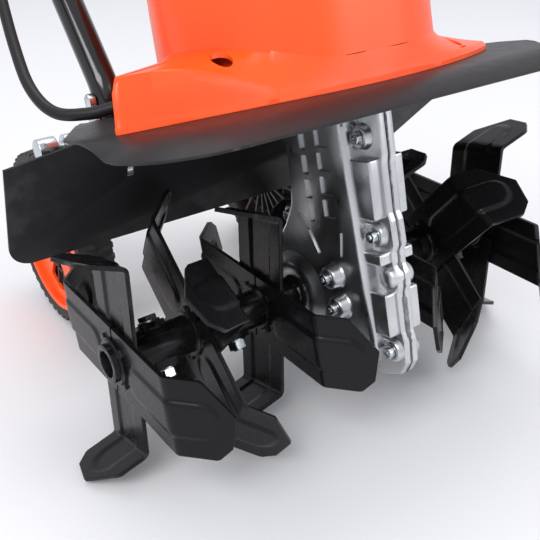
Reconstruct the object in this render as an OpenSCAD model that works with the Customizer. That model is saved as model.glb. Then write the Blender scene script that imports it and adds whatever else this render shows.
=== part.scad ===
// Corded electric garden tiller with a central worm gearbox, six four-blade tine rotors, a sheet
// guard, two transport wheels and a folding handle. Millimetres, +Z up, X along the tine shaft,
// the front faces -Y, the floor is Z = 0.

/* [Tines] */
// Distance from the shaft axis to the bend line of a blade
bend_r = 79.8; // [60:1:95]
// Width of a blade strip
blade_w = 56; // [40:1:70]
// Thickness of a blade strip
blade_t = 3.2; // [2:0.1:5]
// Length of the bent tip
tip_l = 43; // [25:1:55]
// Skew of a bend line: one edge of the blade bends this much nearer the shaft, the other farther
bend_skew = 7.2; // [0:0.1:12]
// Bend of the outboard strip's tips, towards the gearbox, in degrees
bend_out = 50; // [30:1:70]
// Bend of the inboard strip's tips, away from the gearbox, in degrees
bend_in = 68; // [40:1:80]
// Turn of the middle rotors against the others, in degrees
mid_turn = 40; // [0:1:90]
// Lateral position of the inner rotor
x_inner = 60; // [50:1:80]
// Distance between neighbouring rotors
x_step = 63; // [50:1:70]

/* [Drive] */
// Height of the tine shaft above the floor
shaft_h = 101.73; // [80:0.01:120]
// Diameter of the tine shaft
shaft_d = 20; // [16:1:25]
// Distance from the tine shaft to the motor and worm axis
worm_c = 50; // [45:0.5:60]
// Teeth of the worm wheel
wheel_teeth = 35; // [25:1:45]
// Lean of the upper machine towards the rear, in degrees
lean_a = 13.4; // [0:0.1:25]

/* [Guard] */
// Half width of the deck
deck_hw = 203; // [180:1:230]
// Height of the deck's top above the shaft axis, measured square to the deck
deck_z = 168; // [160:1:180]
// Thickness of the guard sheet
sheet_t = 2; // [1:0.1:3]
// Half width of the rear apron
apron_hw = 222; // [200:1:240]

/* [Wheels] */
// Tyre diameter
tyre_d = 176; // [150:1:220]
// Tyre width
tyre_w = 37; // [25:1:50]
// Lateral position of a wheel's outer face
wheel_x = 145; // [120:1:180]
// Distance from the tine shaft to the wheel axle, along the floor
axle_y = 250; // [200:1:300]

/* [Handle] */
// Diameter of the handle tube
tube_d = 22; // [18:1:28]
// Lateral position of the lower handle tubes
tube_fx = 134; // [120:1:170]

/* [Hidden] */
$fn = 64;
e = 0.01;
y_mid = -353.4;                     // puts the whole machine's length about Y = 0
worm_r = 11.8;                      // pitch radius of the worm
wheel_r = worm_c - worm_r;          // pitch radius of the worm wheel
pitch = 2 * PI * wheel_r / wheel_teeth;
x_mid = x_inner + x_step;
x_outer = x_inner + 2 * x_step;
sr = shaft_d / 2;
hw = blade_w / 2;
skew_a = atan(bend_skew / hw);
case_hw = 20;
hub_turn = -35;                     // turn of the clamp bolts about the shaft
tyre_r = tyre_d / 2;
top_z = 162;                        // the base cover is drawn on this plane
tube_r = tube_d / 2;
orange = [0.95, 0.30, 0.10];
black = [0.09, 0.09, 0.10];
steel = [0.72, 0.73, 0.75];
alu = [0.78, 0.79, 0.80];

// Frames: the floor frame stands level; the leaning frame turns about the tine shaft.
module floor_frame() translate([0, y_mid, 0]) children();
module lean() translate([0, y_mid, shaft_h]) rotate([-lean_a, 0, 0]) children();
// A profile drawn as (Y, Z) and run along X from x0 to x1.
module along_x(x0, x1) translate([x0, 0, 0]) rotate([90, 0, 90]) linear_extrude(x1 - x0) children();
module xcyl(x0, x1, r, y = 0, z = 0) translate([x0, y, z]) rotate([0, 90, 0]) cylinder(h = x1 - x0, r = r);
module ycyl(y0, y1, r, x = 0, z = 0) translate([x, y1, z]) rotate([90, 0, 0]) cylinder(h = y1 - y0, r = r);
module zcyl(z0, z1, r, x = 0, y = 0) translate([x, y, z0]) cylinder(h = z1 - z0, r = r);
// Height of the deck above the height that the upper works are drawn at.
lift = deck_z - 162;
module up() translate([0, 0, lift]) children();
module sides() { children(); mirror([1, 0, 0]) children(); }
module rbox2(w, d, r) {
    square([w - 2 * r, d], center = true);
    square([w, d - 2 * r], center = true);
    for (i = [-1, 1], j = [-1, 1]) translate([i * (w / 2 - r), j * (d / 2 - r)]) circle(r);
}

// ---------------------------------------------------------------- tine rotors
// One strip: two opposite arms, drawn along Z at X = 0, tips bent towards dir.
module tip(dir, ang) translate([0, 0, bend_r]) rotate([-skew_a, 0, 0]) {
    rotate([0, dir * ang, 0]) rotate([90, 0, 90]) translate([0, 0, -blade_t / 2]) linear_extrude(blade_t)
        rotate(skew_a) polygon([[-hw, bend_skew - 1], [hw, -bend_skew - 1], [hw, tip_l * 0.40], [5, tip_l],
            [-hw + 10, tip_l], [-hw, tip_l * 0.80]]);
    // the bend itself
    ycyl(-hw / cos(skew_a) + 0.5, hw / cos(skew_a) - 0.5, blade_t / 2 + 0.25);
}
module strip(dir, ang) {
    along_x(-blade_t / 2, blade_t / 2) polygon([[-hw, bend_r + bend_skew], [hw, bend_r - bend_skew],
        [hw, -bend_r - bend_skew], [-hw, -bend_r + bend_skew]]);
    tip(dir, ang);
    rotate([180, 0, 0]) tip(dir, ang);
    for (a = [0, 180]) rotate([a, 0, 0]) along_x(-blade_t / 2 - 1, blade_t / 2 + 1) {
        translate([-8.8, 30]) square([17.6, bend_r - 40]);
        translate([0, 30]) circle(9);
    }
}
// A rotor at lateral place x on the right hand side (+X), turned by a about the shaft.
module rotor(x, a) translate([x, 0, 0]) rotate([a, 0, 0]) difference() {
    union() {
        translate([blade_t / 2 - 0.05, 0, 0]) rotate([90, 0, 0]) strip(-1, bend_out);
        translate([-blade_t / 2 + 0.05, 0, 0]) strip(1, bend_in);
        // ring that carries both strips on the hub tube, staked over at four places
        xcyl(-blade_t - 3, blade_t + 3, 18);
        for (i = [0 : 3]) rotate([45 + 90 * i, 0, 0])
            translate([-blade_t - 1.5, 16, -2.5]) cube([2 * blade_t + 3, 6, 5]);
    }
    xcyl(-20, 20, 15.02);
}
module at_shaft() translate([0, y_mid, shaft_h]) children();
module tines_outer_left() color(black) at_shaft() mirror([1, 0, 0]) rotor(x_outer, 0);
module tines_mid_left() color(black) at_shaft() mirror([1, 0, 0]) rotor(x_mid, mid_turn);
module tines_inner_left() color(black) at_shaft() mirror([1, 0, 0]) rotor(x_inner, 0);
module tines_outer_right() color(black) at_shaft() rotor(x_outer, 0);
module tines_mid_right() color(black) at_shaft() rotor(x_mid, mid_turn);
module tines_inner_right() color(black) at_shaft() rotor(x_inner, 0);

// Hub tubes: the outer one joins two rotors, the inner one carries the third.
module hub(x0, x1, bolt_x, flats) rotate([flats, 0, 0]) difference() {
    union() {
        xcyl(x0, x1, 15);
        translate([bolt_x - 9, -9, -18]) cube([18, 18, 36]);
    }
    xcyl(x0 - 1, x1 + 1, sr + 0.06);
    if (x1 > x_outer) xcyl(shaft_end + 1, x1 + 1, sr + 0.5);
    zcyl(-20, 20, 4.06, x = bolt_x);
}
shaft_end = x_outer - 14;
bolt_xo = x_outer - x_step / 2;
bolt_xi = x_mid - x_step / 2;
module hub_outer_left() color(black) at_shaft() mirror([1, 0, 0]) hub(x_mid - 14, x_outer + 10, bolt_xo, hub_turn);
module hub_inner_left() color(black) at_shaft() mirror([1, 0, 0]) hub(case_hw + 10, x_mid - 15, bolt_xi, hub_turn);
module hub_outer_right() color(black) at_shaft() hub(x_mid - 14, x_outer + 10, bolt_xo, hub_turn);
module hub_inner_right() color(black) at_shaft() hub(case_hw + 10, x_mid - 15, bolt_xi, hub_turn);
module hub_bolts() color(steel) at_shaft() sides() for (x = [bolt_xo, bolt_xi]) rotate([hub_turn, 0, 0]) {
    zcyl(-27, 18.5, 4, x = x);
    translate([x, 0, 18.1]) cylinder(h = 5.4, r = 7.5, $fn = 6);
}
module hub_nuts() color(steel) at_shaft() sides() for (x = [bolt_xo, bolt_xi]) rotate([hub_turn, 0, 0])
    difference() {
        union() {
            translate([x, 0, -25.6]) cylinder(h = 6.4, r = 7.5, $fn = 6);
            zcyl(-19.3, -18.1, 8, x = x);
        }
        zcyl(-30, -15, 4.02, x = x);
    }

// ---------------------------------------------------------------- tine shaft and worm drive
module tine_shaft() color(steel) at_shaft() difference() {
    union() {
        xcyl(-shaft_end, shaft_end, sr);
        xcyl(-case_hw + 12.5, case_hw - 12.5, sr + 2);
    }
    for (x = [-bolt_xo, -bolt_xi, bolt_xi, bolt_xo]) rotate([hub_turn, 0, 0]) zcyl(-20, 20, 4.06, x = x);
    translate([-6.5, -3, sr - 1]) cube([13, 6, 5]);
}
module shaft_key() color(steel) at_shaft() translate([-6.4, -2.9, sr - 0.9]) cube([12.8, 5.8, 5.6]);
// Worm wheel: true teeth, cut as plain gaps around the rim.
module worm_wheel() color([0.72, 0.55, 0.25]) at_shaft() difference() {
    union() {
        along_x(-6.5, 6.5) difference() {
            circle(wheel_r + 0.9);
            for (i = [0 : wheel_teeth - 1]) rotate(360 / wheel_teeth * (i + 0.5) - lean_a)
                translate([wheel_r + 3, 0])
                    polygon([[0, -2.8], [0, 2.8], [-5.4, 1.7], [-5.4, -1.7]]);
        }
        xcyl(-7.4, 7.4, 21);
    }
    xcyl(-14, 14, sr + 2.03);
    translate([-6.45, -2.95, sr]) cube([12.9, 5.9, 5]);
    translate([-9, -2.95, sr + 1.5]) cube([18, 5.9, 3.5]);
    sides() translate([3.5, 0, 0]) difference() { xcyl(0, 5, wheel_r - 5.5); xcyl(-1, 6, 22); }
}
// Worm on the motor shaft. The thread is an eccentric circle run up the shaft.
// Rings stacked up the axis, each an off-centre circle; caps close both ends.
module stack(c, z, r, s) {
    n = len(z);
    pts = [for (i = [0 : n - 1], k = [0 : s - 1]) [c[i][0] + r * cos(360 * k / s), c[i][1] + r * sin(360 * k / s), z[i]]];
    side = [for (i = [0 : n - 2], k = [0 : s - 1])
        [i * s + k, (i + 1) * s + k, (i + 1) * s + (k + 1) % s, i * s + (k + 1) % s]];
    polyhedron(pts, concat([[for (k = [0 : s - 1]) k]], side, [[for (k = [s - 1 : -1 : 0]) (n - 1) * s + k]]));
}
worm_z = [for (i = [-42 : 42]) i * 24 / 42];
module worm() color(steel) lean() translate([0, -worm_c, 0]) difference() {
    stack([for (z = worm_z) 1.9 * [cos(90 + 360 * z / pitch), sin(90 + 360 * z / pitch)]], worm_z, 11.4, 16);
    zcyl(-25, 25, 7.0);
}
module motor_shaft() color(steel) lean() translate([0, -worm_c, 0]) {
    zcyl(-40.8, 305 + lift, 6);
    zcyl(-31, 101, 6.95);
}
module worm_bearings() color(steel) lean() translate([0, -worm_c, 0]) {
    difference() { zcyl(-41, -31.2, 14); zcyl(-45, -20, 6.03); }
    difference() { zcyl(101.2, 112, 16); zcyl(95, 120, 6.03); }
    up() difference() { zcyl(292, 301, 13); zcyl(280, 310, 6.03); }
}
module shaft_bearings() color(steel) at_shaft() sides() difference() {
    xcyl(case_hw - 12, case_hw, 21);
    xcyl(case_hw - 15, case_hw + 2, sr + 0.03);
}
module shaft_seals() color(black) at_shaft() sides() difference() {
    xcyl(case_hw + 0.5, case_hw + 5.8, 15.5);
    xcyl(case_hw - 1, case_hw + 9, sr + 0.05);
}

// ---------------------------------------------------------------- gearbox
// Side view of the case, (Y, Z) in the leaning frame.
module case_side() {
    polygon([[-6, 158 + lift], [-8, 100], [-4, 76], [8, 58], [40, 24], [47, 0], [40, -26], [22, -42], [0, -47],
             [-40, -50], [-66, -50], [-84, -44], [-90, -30], [-86, 40], [-83, 100], [-82, 158 + lift]]);
    circle(47.5);
}
module case_inside() {
    circle(43.5);
    translate([-worm_c - 14.5, -30.5]) square([29, 131]);
    translate([-worm_c, -30.5]) square([40, 48]);
}
// Outline of the bolted flange, proud of the case along the front, the foot and the rear.
module flange_side() {
    case_side();
    polygon([[-60, 158 + lift], [-107, 158 + lift], [-108, -22], [-104, -44], [-84, -57], [-40, -57], [-40, 0]]);
    for (p = [[-89, 131], [-94, 59], [-98, -32], [-4, 128], [12, 62], [44, 22], [40, -34], [-4, -50]])
        translate(p) circle(8.5);
}
case_screws = [[-89, 131], [-94, 59], [-98, -32], [-4, 128], [12, 62], [44, 22], [40, -34], [-4, -50]];
side_screws = [[-54, 24], [-58, 0]];
module case_half() difference() {
    union() {
        along_x(0.4, 7) flange_side();
        along_x(6, case_hw) case_side();
        // screw lugs that run back from the flange
        for (p = case_screws) xcyl(0.4, 14, 8, y = p[0], z = p[1]);
        // block ribs down the front face
        for (z = [84, 14]) translate([6.5, -100, z]) cube([9, 20, 32]);
        // top flange under the deck
        translate([0.4, -88, 151 + lift]) cube([40, 90, 8.8]);
        // domed boss round the tine shaft
        rotate([0, 90, 0]) cylinder(h = case_hw + 4, r = 31);
        xcyl(case_hw + 3, case_hw + 6.2, 24);
        // two side bosses for the gear cover screws
        for (p = side_screws) xcyl(15, case_hw + 9, 9, y = p[0], z = p[1]);
    }
    along_x(-1, case_hw - 4) case_inside();
    xcyl(-1, case_hw, 21.02);
    xcyl(-1, case_hw + 30, 15.52);
    // worm bearing seats and the bore for the motor shaft
    translate([0, -worm_c, 0]) { zcyl(-41.1, -20, 14.02); zcyl(90, 190, 16.02); zcyl(-30, 100, 14.5); }
    // two columns of shallow pockets in the side face
    for (i = [0 : 3]) {
        translate([case_hw - 2, -36, 70 + 19 * i]) cube([4, 15, 13]);
        translate([case_hw - 2, -72, 74 + 18 * i]) cube([4, 22, 11]);
    }
    for (p = case_screws) {
        xcyl(-1, 20, 2.6, y = p[0], z = p[1]);
        xcyl(11, 20, 5.2, y = p[0], z = p[1]);
    }
    for (p = side_screws) xcyl(case_hw + 1, case_hw + 20, 2.6, y = p[0], z = p[1]);
}
module gearbox_left() color(alu) lean() mirror([1, 0, 0]) case_half();
module gearbox_right() color(alu) lean() case_half();
module gearbox_gasket() color([0.3, 0.3, 0.32]) lean() along_x(-0.35, 0.35) difference() {
    flange_side();
    case_inside();
    translate([-worm_c - 16.1, 90]) square([32.2, 90]);
    translate([-worm_c - 14.1, -41.2]) square([28.2, 30]);
    for (p = case_screws) translate(p) circle(3.2);
}
module socket_screw(x0, x1, xh, r = 2.5, rh = 4.8, hh = 4.6) {
    xcyl(min(x0, x1), max(x0, x1), r);
    difference() {
        xcyl(min(xh, xh + hh), max(xh, xh + hh), rh);
        translate([xh + (hh > 0 ? hh - 2.6 : 0), 0, 0]) rotate([0, 90, 0]) cylinder(h = 2.7, r = 2.3, $fn = 6);
    }
}
module gearbox_screws() color(steel) lean() {
    for (p = case_screws) translate([0, p[0], p[1]]) mirror([1, 0, 0]) difference() {
        union() { xcyl(-10.8, 11.5, 2.5); xcyl(11.1, 15.9, 4.8); }
        translate([13, 0, 0]) rotate([0, 90, 0]) cylinder(h = 4, r = 2.3, $fn = 6);
    }
    sides() for (p = side_screws) translate([0, p[0], p[1]]) difference() {
        union() { xcyl(case_hw + 1.2, case_hw + 9.2, 2.5); xcyl(case_hw + 9.1, case_hw + 13.5, 4.8); }
        translate([case_hw + 11, 0, 0]) rotate([0, 90, 0]) cylinder(h = 4, r = 2.3, $fn = 6);
    }
}

// ---------------------------------------------------------------- motor
module on_worm() lean() translate([0, -worm_c, lift]) children();
module motor_fan() color(black) on_worm() difference() {
    union() {
        zcyl(172, 174.5, 38);
        zcyl(172, 186, 10);
        for (i = [0 : 10]) rotate(i * 360 / 11) translate([9, -1, 173]) cube([28, 2, 12]);
    }
    zcyl(165, 190, 6.04);
}
module motor_armature() color([0.55, 0.35, 0.2]) on_worm() difference() {
    union() {
        zcyl(204, 256, 24);
        zcyl(196, 204.5, 17);
        zcyl(255.5, 264, 17);
        zcyl(266, 284, 12.5);
        zcyl(263, 267, 9);
    }
    zcyl(190, 290, 6.02);
    for (i = [0 : 11]) rotate(i * 30) translate([22, -1.2, 203]) cube([4, 2.4, 54]);
}
module motor_stator() color([0.4, 0.4, 0.42]) on_worm() difference() {
    union() {
        zcyl(202, 258, 41);
        for (a = [0, 180]) rotate(a) translate([0, 33, 198]) cylinder(h = 64, r = 6);
    }
    zcyl(190, 270, 24.6);
}
module brush_holders() color([0.7, 0.6, 0.3]) on_worm() sides()
    translate([13.1, -4.5, 270.5]) cube([23, 9, 9]);
// Plastic cage: foot ring, tube with windows, top bridge with the bearing seat.
module motor_cage() color(black) on_worm() difference() {
    union() {
        zcyl(162.3, 166.3, 54);
        zcyl(166, 292, 44.5);
        zcyl(286, 306, 18);
        translate([-44, -7, 286]) cube([88, 14, 6]);
    }
    zcyl(168, 286, 41.1);
    zcyl(160, 170, 20);
    zcyl(284, 301.1, 13.02);
    zcyl(280, 320, 7);
    for (a = [45, 135, 225, 315]) rotate(a) {
        translate([20, -9, 284]) cube([40, 18, 12]);
        translate([30, -14, 171]) cube([30, 28, 18]);
    }
    for (a = [0, 180]) rotate(a) translate([12, -4.7, 270.3]) cube([40, 9.4, 9.4]);
    for (a = [0, 90, 180, 270]) rotate(a + 45) zcyl(160, 170, 2.6, x = 49.5);
    for (a = [0, 180]) rotate(a) translate([0, 33, 190]) cylinder(h = 78, r = 6.6);
}

// ---------------------------------------------------------------- covers
dome_y = -14;                       // middle of the dome behind the tine shaft
dome_r = 94;                        // radius of the dome's round ends
dome_dx = 13;                       // half the straight between them
module stadium(r) {
    for (i = [-1, 1]) translate([i * dome_dx, dome_y]) circle(r);
    translate([-dome_dx, dome_y - r]) square([2 * dome_dx, 2 * r]);
}
function dome_pts(d) = [[0, 184 - d], [94 - d, 184 - d], [93 - d, 230], [90.5 - d, 280], [86 - d, 312 - d / 2],
    [78 - d, 330 - d / 2], [66 - d, 341 - d], [60 - d, 344 - d], [0, 346 - d]];
module dome_solid(d) {
    for (i = [-1, 1]) translate([i * dome_dx, dome_y, 0]) rotate_extrude() polygon(dome_pts(d));
    translate([-dome_dx, dome_y, 0]) rotate([90, 0, 90]) linear_extrude(2 * dome_dx) {
        polygon(dome_pts(d));
        mirror([1, 0]) polygon(dome_pts(d));
    }
}
module motor_dome() color(orange) lean() up() difference() {
    dome_solid(0);
    dome_solid(3);
    translate([-60, dome_y - 52, 330]) cube([120, 104, 30]);
    translate([0, 0, 170]) linear_extrude(14.2) stadium(120);
    // side vents
    for (m = [0, 1]) mirror([m, 0, 0]) for (i = [0 : 5]) translate([80, dome_y - 5 + 11 * i - 27, 250]) cube([40, 5, 42]);
}
module vent_cap() color(black) lean() up() difference() {
    union() {
        translate([-59.6, dome_y - 51.6, 336]) cube([119.2, 103.2, 4]);
        translate([-54, dome_y - 46, 338]) cube([108, 92, 14]);
    }
    translate([-51, dome_y - 43, 330]) cube([102, 86, 19]);
    for (i = [-4 : 4]) translate([i * 11 - 2.5, dome_y - 38, 340]) cube([5, 76, 20]);
}
// Outline of the base cover: bowed front, the sides drawn in towards the rear.
module base_plan(d = 0) intersection() {
    translate([0, 176]) circle(285 - d);
    polygon([[-150, -120], [150, -120], [158 - d, -62], [158 - d, -50], [118 - d, -5 - d], [109 - d, -5 - d],
             [109 - d, 88 - d], [-109 + d, 88 - d], [-109 + d, -5 - d], [-150, -5 - d]]);
}
// Cable housing at the left end, with an arched front face.
module cable_lobe(d = 0) intersection() {
    translate([0, 0, top_z + 0.2]) linear_extrude(60)
        polygon([[-60, -99 + d], [-72, -98.5 + d], [-186 + 1.8 * d, -76 + d], [-122 + 0.4 * d, -5 - d],
                 [-60, -5 - d]]);
    union() {
        rotate([90, 0, 0]) translate([0, 0, 0]) linear_extrude(120) translate([0, top_z - d]) polygon([[-190, -9],
            [-190, 27], [-182, 31], [-170, 33], [-155, 32.5], [-140, 29.5], [-125, 25], [-110, 19], [-95, 12], [-82, 6],
            [-72, 1], [-72, -9]]);
        along_x(-140 + d, -90) translate([0, top_z - d])
            polygon([[-74, 0], [-74, 24], [-30, 39], [-4, 39], [-4, 0]]);
    }
}
module base_solid(d) {
    translate([0, 0, top_z + 0.2]) linear_extrude(9 - d) base_plan(d);
    translate([0, 0, top_z + 0.2]) linear_extrude(21.6) stadium(dome_r + 2.5 - d);
    translate([0, 0, top_z + 0.2]) linear_extrude(14 - d) stadium(dome_r + 9 - d);
    cable_lobe(d);
}
cover_pts = [[-104, -76], [104, -76], [-96, 70], [96, 70]];
gland = [-163, -51, 176];            // where the cable leaves the housing
module base_cover() color(orange) lean() up() difference() {
    base_solid(0);
    difference() {
        translate([0, 0, -3]) base_solid(3);
        for (p = cover_pts) zcyl(100, 184, 7, x = p[0], y = p[1]);
    }
    translate([0, 0, 150]) linear_extrude(60) stadium(dome_r - 0.5);
    translate([0, 0, 184]) linear_extrude(60) stadium(dome_r + 0.4);
    for (p = cover_pts) {
        zcyl(150, 200, 2.8, x = p[0], y = p[1]);
        zcyl(168, 200, 6, x = p[0], y = p[1]);
    }
    translate(gland) rotate([0, -90, -42]) cylinder(h = 24, r = 5.5, center = true);
}
module cover_screws() color(steel) lean() up() for (p = cover_pts) translate([p[0], p[1], 0]) difference() {
    union() { zcyl(154, 168.1, 2.5); zcyl(168.1, 171, 4.8); }
    zcyl(169.4, 172, 2.4);
}

// ---------------------------------------------------------------- guard
module guard_deck() color(black) lean() up() difference() {
    union() {
        translate([0, 0, top_z - sheet_t]) linear_extrude(sheet_t) difference() {
            union() {
                for (i = [0, 1]) mirror([i, 0]) {
                    polygon([[0, -134], [deck_hw - 8, -134], [deck_hw - 8, -96], [deck_hw, -96], [deck_hw, -36],
                             [deck_hw - 36, 32], [114, 32], [114, 92], [0, 92]]);
                    translate([deck_hw - 52, -96]) circle(52);
                }
            }
            for (i = [0, 1]) mirror([i, 0]) translate([deck_hw - 52, -96]) difference() {
                translate([0, -60]) square([70, 60]);
                circle(52);
            }
            translate([0, -worm_c]) circle(21);
        }
        // front lip, bent down
        translate([0, -134, top_z]) rotate([20, 0, 0]) translate([-deck_hw + 44, -23, -sheet_t])
            cube([2 * deck_hw - 88, 23.4, sheet_t]);
    }
    for (p = cover_pts) zcyl(150, 170, 2.8, x = p[0], y = p[1]);
    for (a = [45, 135, 225, 315]) translate([0, -worm_c, 0]) rotate(a) zcyl(150, 170, 2.6, x = 49.5);
    for (x = [-90, -40, 40, 90]) zcyl(150, 170, 3.3, x = x, y = 24);
}
ap_y = 93;                          // foot of the apron
ap_z = 66;
ap_len = norm([ap_y - 34, 160 + lift - ap_z]);
ap_ang = atan2(ap_y - 34, 160 + lift - ap_z);
module rear_apron() color(black) lean() difference() {
    union() {
        translate([-112, 12, 157.9 + lift]) cube([224, 24, 2]);
        translate([0, 34.4, 159 + lift]) rotate([ap_ang, 0, 0]) rotate([90, 0, 0]) translate([0, 0, -1])
            linear_extrude(2) difference() {
                translate([-apron_hw, -ap_len]) square([2 * apron_hw, ap_len]);
                for (i = [0, 1]) mirror([i, 0]) {
                    translate([apron_hw - 20, -ap_len + 20]) difference() {
                        translate([0, -30]) square([30, 30]);
                        circle(20);
                    }
                    translate([apron_hw - 60, -12]) rotate(-9) square([80, 30]);
                    translate([deck_hw - 16, -14]) square([5, 30]);
                }
                // the right end is cut back at a slant
                polygon([[131, -ap_len - 1], [223, -50], [240, -50], [240, -ap_len - 1]]);
            }
    }
    for (x = [-90, -40, 40, 90]) zcyl(150, 190, 3.3, x = x, y = 24);
    // slots for the chassis plates
    sides() { translate([118.6, 30, 118]) cube([5.4, 60, 66]); translate([118.6, 33, 136]) cube([27.4, 24.4, 50]); }
}
// Bolts that hold deck, apron and chassis together.
module frame_bolts() color(steel) lean() {
    for (x = [-90, -40, 40, 90]) {
        zcyl(147 + lift, deck_z + 0.1, 3, x = x, y = 24);
        zcyl(deck_z + 0.1, deck_z + 3, 6, x = x, y = 24);
        translate([x, 24, 148.6 + lift]) cylinder(h = 5.8, r = 5.8, $fn = 6);
    }
    sides() for (z = [165, 181]) {
        xcyl(116.5, tube_fx + tube_r + 4, 3, y = 45, z = z);
        translate([tube_fx + tube_r + 0.1, 45, z]) rotate([0, 90, 0]) cylinder(h = 5, r = 5.8, $fn = 6);
        xcyl(116.3, 119.6, 6, y = 45, z = z);
    }
}

// ---------------------------------------------------------------- chassis and wheels
piv = [150, 112];                   // pivot of the wheel bracket
pin = [150, 141];                   // index hole
axle = [245, 44.255];                // wheel axle in the leaning frame
module chassis_bracket() color(black) lean() difference() {
    union() {
        translate([-122.8, 12, 154.6 + lift]) cube([245.6, 20.4, 3]);
        sides() along_x(119.8, 122.8)
            polygon([[12, 148 + lift], [12, 157.6 + lift], [33.2, 157.6 + lift], [33.2, 188], [57, 188], [60, 160], [142, 157],
                     [160, 150], [168, 130], [166, 104], [150, 96], [134, 102], [110, 124], [60, 132], [30, 138]]);
    }
    for (x = [-90, -40, 40, 90]) zcyl(140, 190, 3.3, x = x, y = 24);
    xcyl(-130, 130, 5.06, y = piv[0], z = piv[1]);
    xcyl(-130, -110, 4.06, y = pin[0], z = pin[1]);
    for (z = [165, 181]) xcyl(-130, 130, 3.06, y = 45, z = z);
}
module bracket_arm() difference() {
    polygon([[piv[0] - 14, piv[1] + 4], [piv[0] - 10, pin[1] + 6], [pin[0] + 8, pin[1] + 10], [176, 130],
             [200, 104], [axle[0] + 12, axle[1] + 10], [axle[0] + 14, axle[1] - 6], [axle[0] + 2, axle[1] - 14],
             [axle[0] - 12, axle[1] - 8], [192, 74], [piv[0] + 2, piv[1] - 14], [piv[0] - 10, piv[1] - 10]]);
    translate(piv) circle(5.06);
    translate(pin) circle(4.06);
    translate([piv[0] + 29 * sin(32), piv[1] + 29 * cos(32)]) circle(4.06);
    translate(axle) circle(6.04);
}
module wheel_bracket() color(black) lean() {
    sides() along_x(101, 104) bracket_arm();
    xcyl(-101.2, 101.2, 9, y = 192, z = 90);
}
module bracket_pivot() color(steel) lean() {
    xcyl(-128, 128, 5, y = piv[0], z = piv[1]);
    sides() difference() { xcyl(104.2, 119.6, 8.5, y = piv[0], z = piv[1]); xcyl(100, 125, 5.04, y = piv[0], z = piv[1]); }
    sides() xcyl(123.1, 127, 7.5, y = piv[0], z = piv[1]);
}
// Drawn pulled out and parked; it goes in by plunger_in to lock the wheel bracket.
plunger_in = 4;
module lock_plunger() color(steel) lean() translate([-plunger_in, pin[0], pin[1]]) {
    xcyl(-143, -100.4, 4);
    xcyl(-158, -141, 10);
    xcyl(-107.8, -106, 7);
}
module plunger_sleeve() color(black) lean() difference() {
    xcyl(-138, -123, 9.5, y = pin[0], z = pin[1]);
    xcyl(-150, -100, 4.06, y = pin[0], z = pin[1]);
}
module plunger_spring() color(steel) lean() cable_run([for (i = [0 : 36])
    [-118.7 + 6.1 * i / 36, pin[0] + 5.4 * cos(30 * i), pin[1] + 5.4 * sin(30 * i)]], 0.7, 6);
module wheel_axle() color(steel) lean() difference() {
    union() {
        xcyl(-wheel_x - 5, wheel_x + 5, 6, y = axle[0], z = axle[1]);
        sides() xcyl(104.1, 108, 10, y = axle[0], z = axle[1]);
    }
}
module axle_nuts() color(steel) lean() sides() difference() {
    union() {
        translate([wheel_x - 7.8, axle[0], axle[1]]) rotate([0, 90, 0]) cylinder(h = 9, r = 9.6, $fn = 6);
        xcyl(wheel_x - 10, wheel_x - 8, 12, y = axle[0], z = axle[1]);
    }
    xcyl(wheel_x - 20, wheel_x + 20, 6.02, y = axle[0], z = axle[1]);
}
rim_r = tyre_r - 13;
module wheel() translate([0, axle[0], axle[1]]) difference() {
    union() {
        difference() { xcyl(wheel_x - tyre_w + 2, wheel_x - 2, rim_r); xcyl(0, 200, rim_r - 4); }
        xcyl(wheel_x - tyre_w + 0.4, wheel_x - 10.2, 16);
        difference() {
            xcyl(wheel_x - 14, wheel_x - 8, rim_r - 3);
            for (i = [0 : 4]) rotate([i * 72, 0, 0]) along_x(0, 200)
                polygon([[24, -9], [24, 9], [58, 24], [64, 0], [58, -24]]);
        }
        // radial ribs on the inner side
        for (i = [0 : 9]) rotate([i * 36 + 18, 0, 0]) translate([wheel_x - tyre_w + 6, 14, -1.5]) cube([tyre_w - 16, rim_r - 16, 3]);
    }
    xcyl(0, 200, 6.06);
    xcyl(wheel_x - 10.1, 200, 13);
}
module tyre() translate([0, axle[0], axle[1]]) difference() {
    rotate([0, 90, 0]) rotate_extrude() polygon([
        [rim_r + 0.05, wheel_x - tyre_w + 2], [rim_r + 0.05, wheel_x - 2], [tyre_r - 9, wheel_x - 0.5],
        [tyre_r - 3.5, wheel_x - 3], [tyre_r, wheel_x - 9], [tyre_r, wheel_x - tyre_w + 9],
        [tyre_r - 3.5, wheel_x - tyre_w + 3], [tyre_r - 9, wheel_x - tyre_w + 0.5]]);
}
module wheel_left() color(orange) lean() mirror([1, 0, 0]) wheel();
module wheel_right() color(orange) lean() wheel();
module tyre_left() color(black) lean() mirror([1, 0, 0]) tyre();
module tyre_right() color(black) lean() tyre();

// ---------------------------------------------------------------- handle
h_ang = 28.8;                       // lean of the tubes from the leaning frame's +Z
foot = [45, 146];
knee = [45, 188];
low_l = 460;
up_l = 440;
grip_l = 100;
fold = [knee[0] + low_l * sin(h_ang), knee[1] + low_l * cos(h_ang)];
up_x = tube_fx + tube_d + 0.7;      // lateral place of the upper tubes
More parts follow.
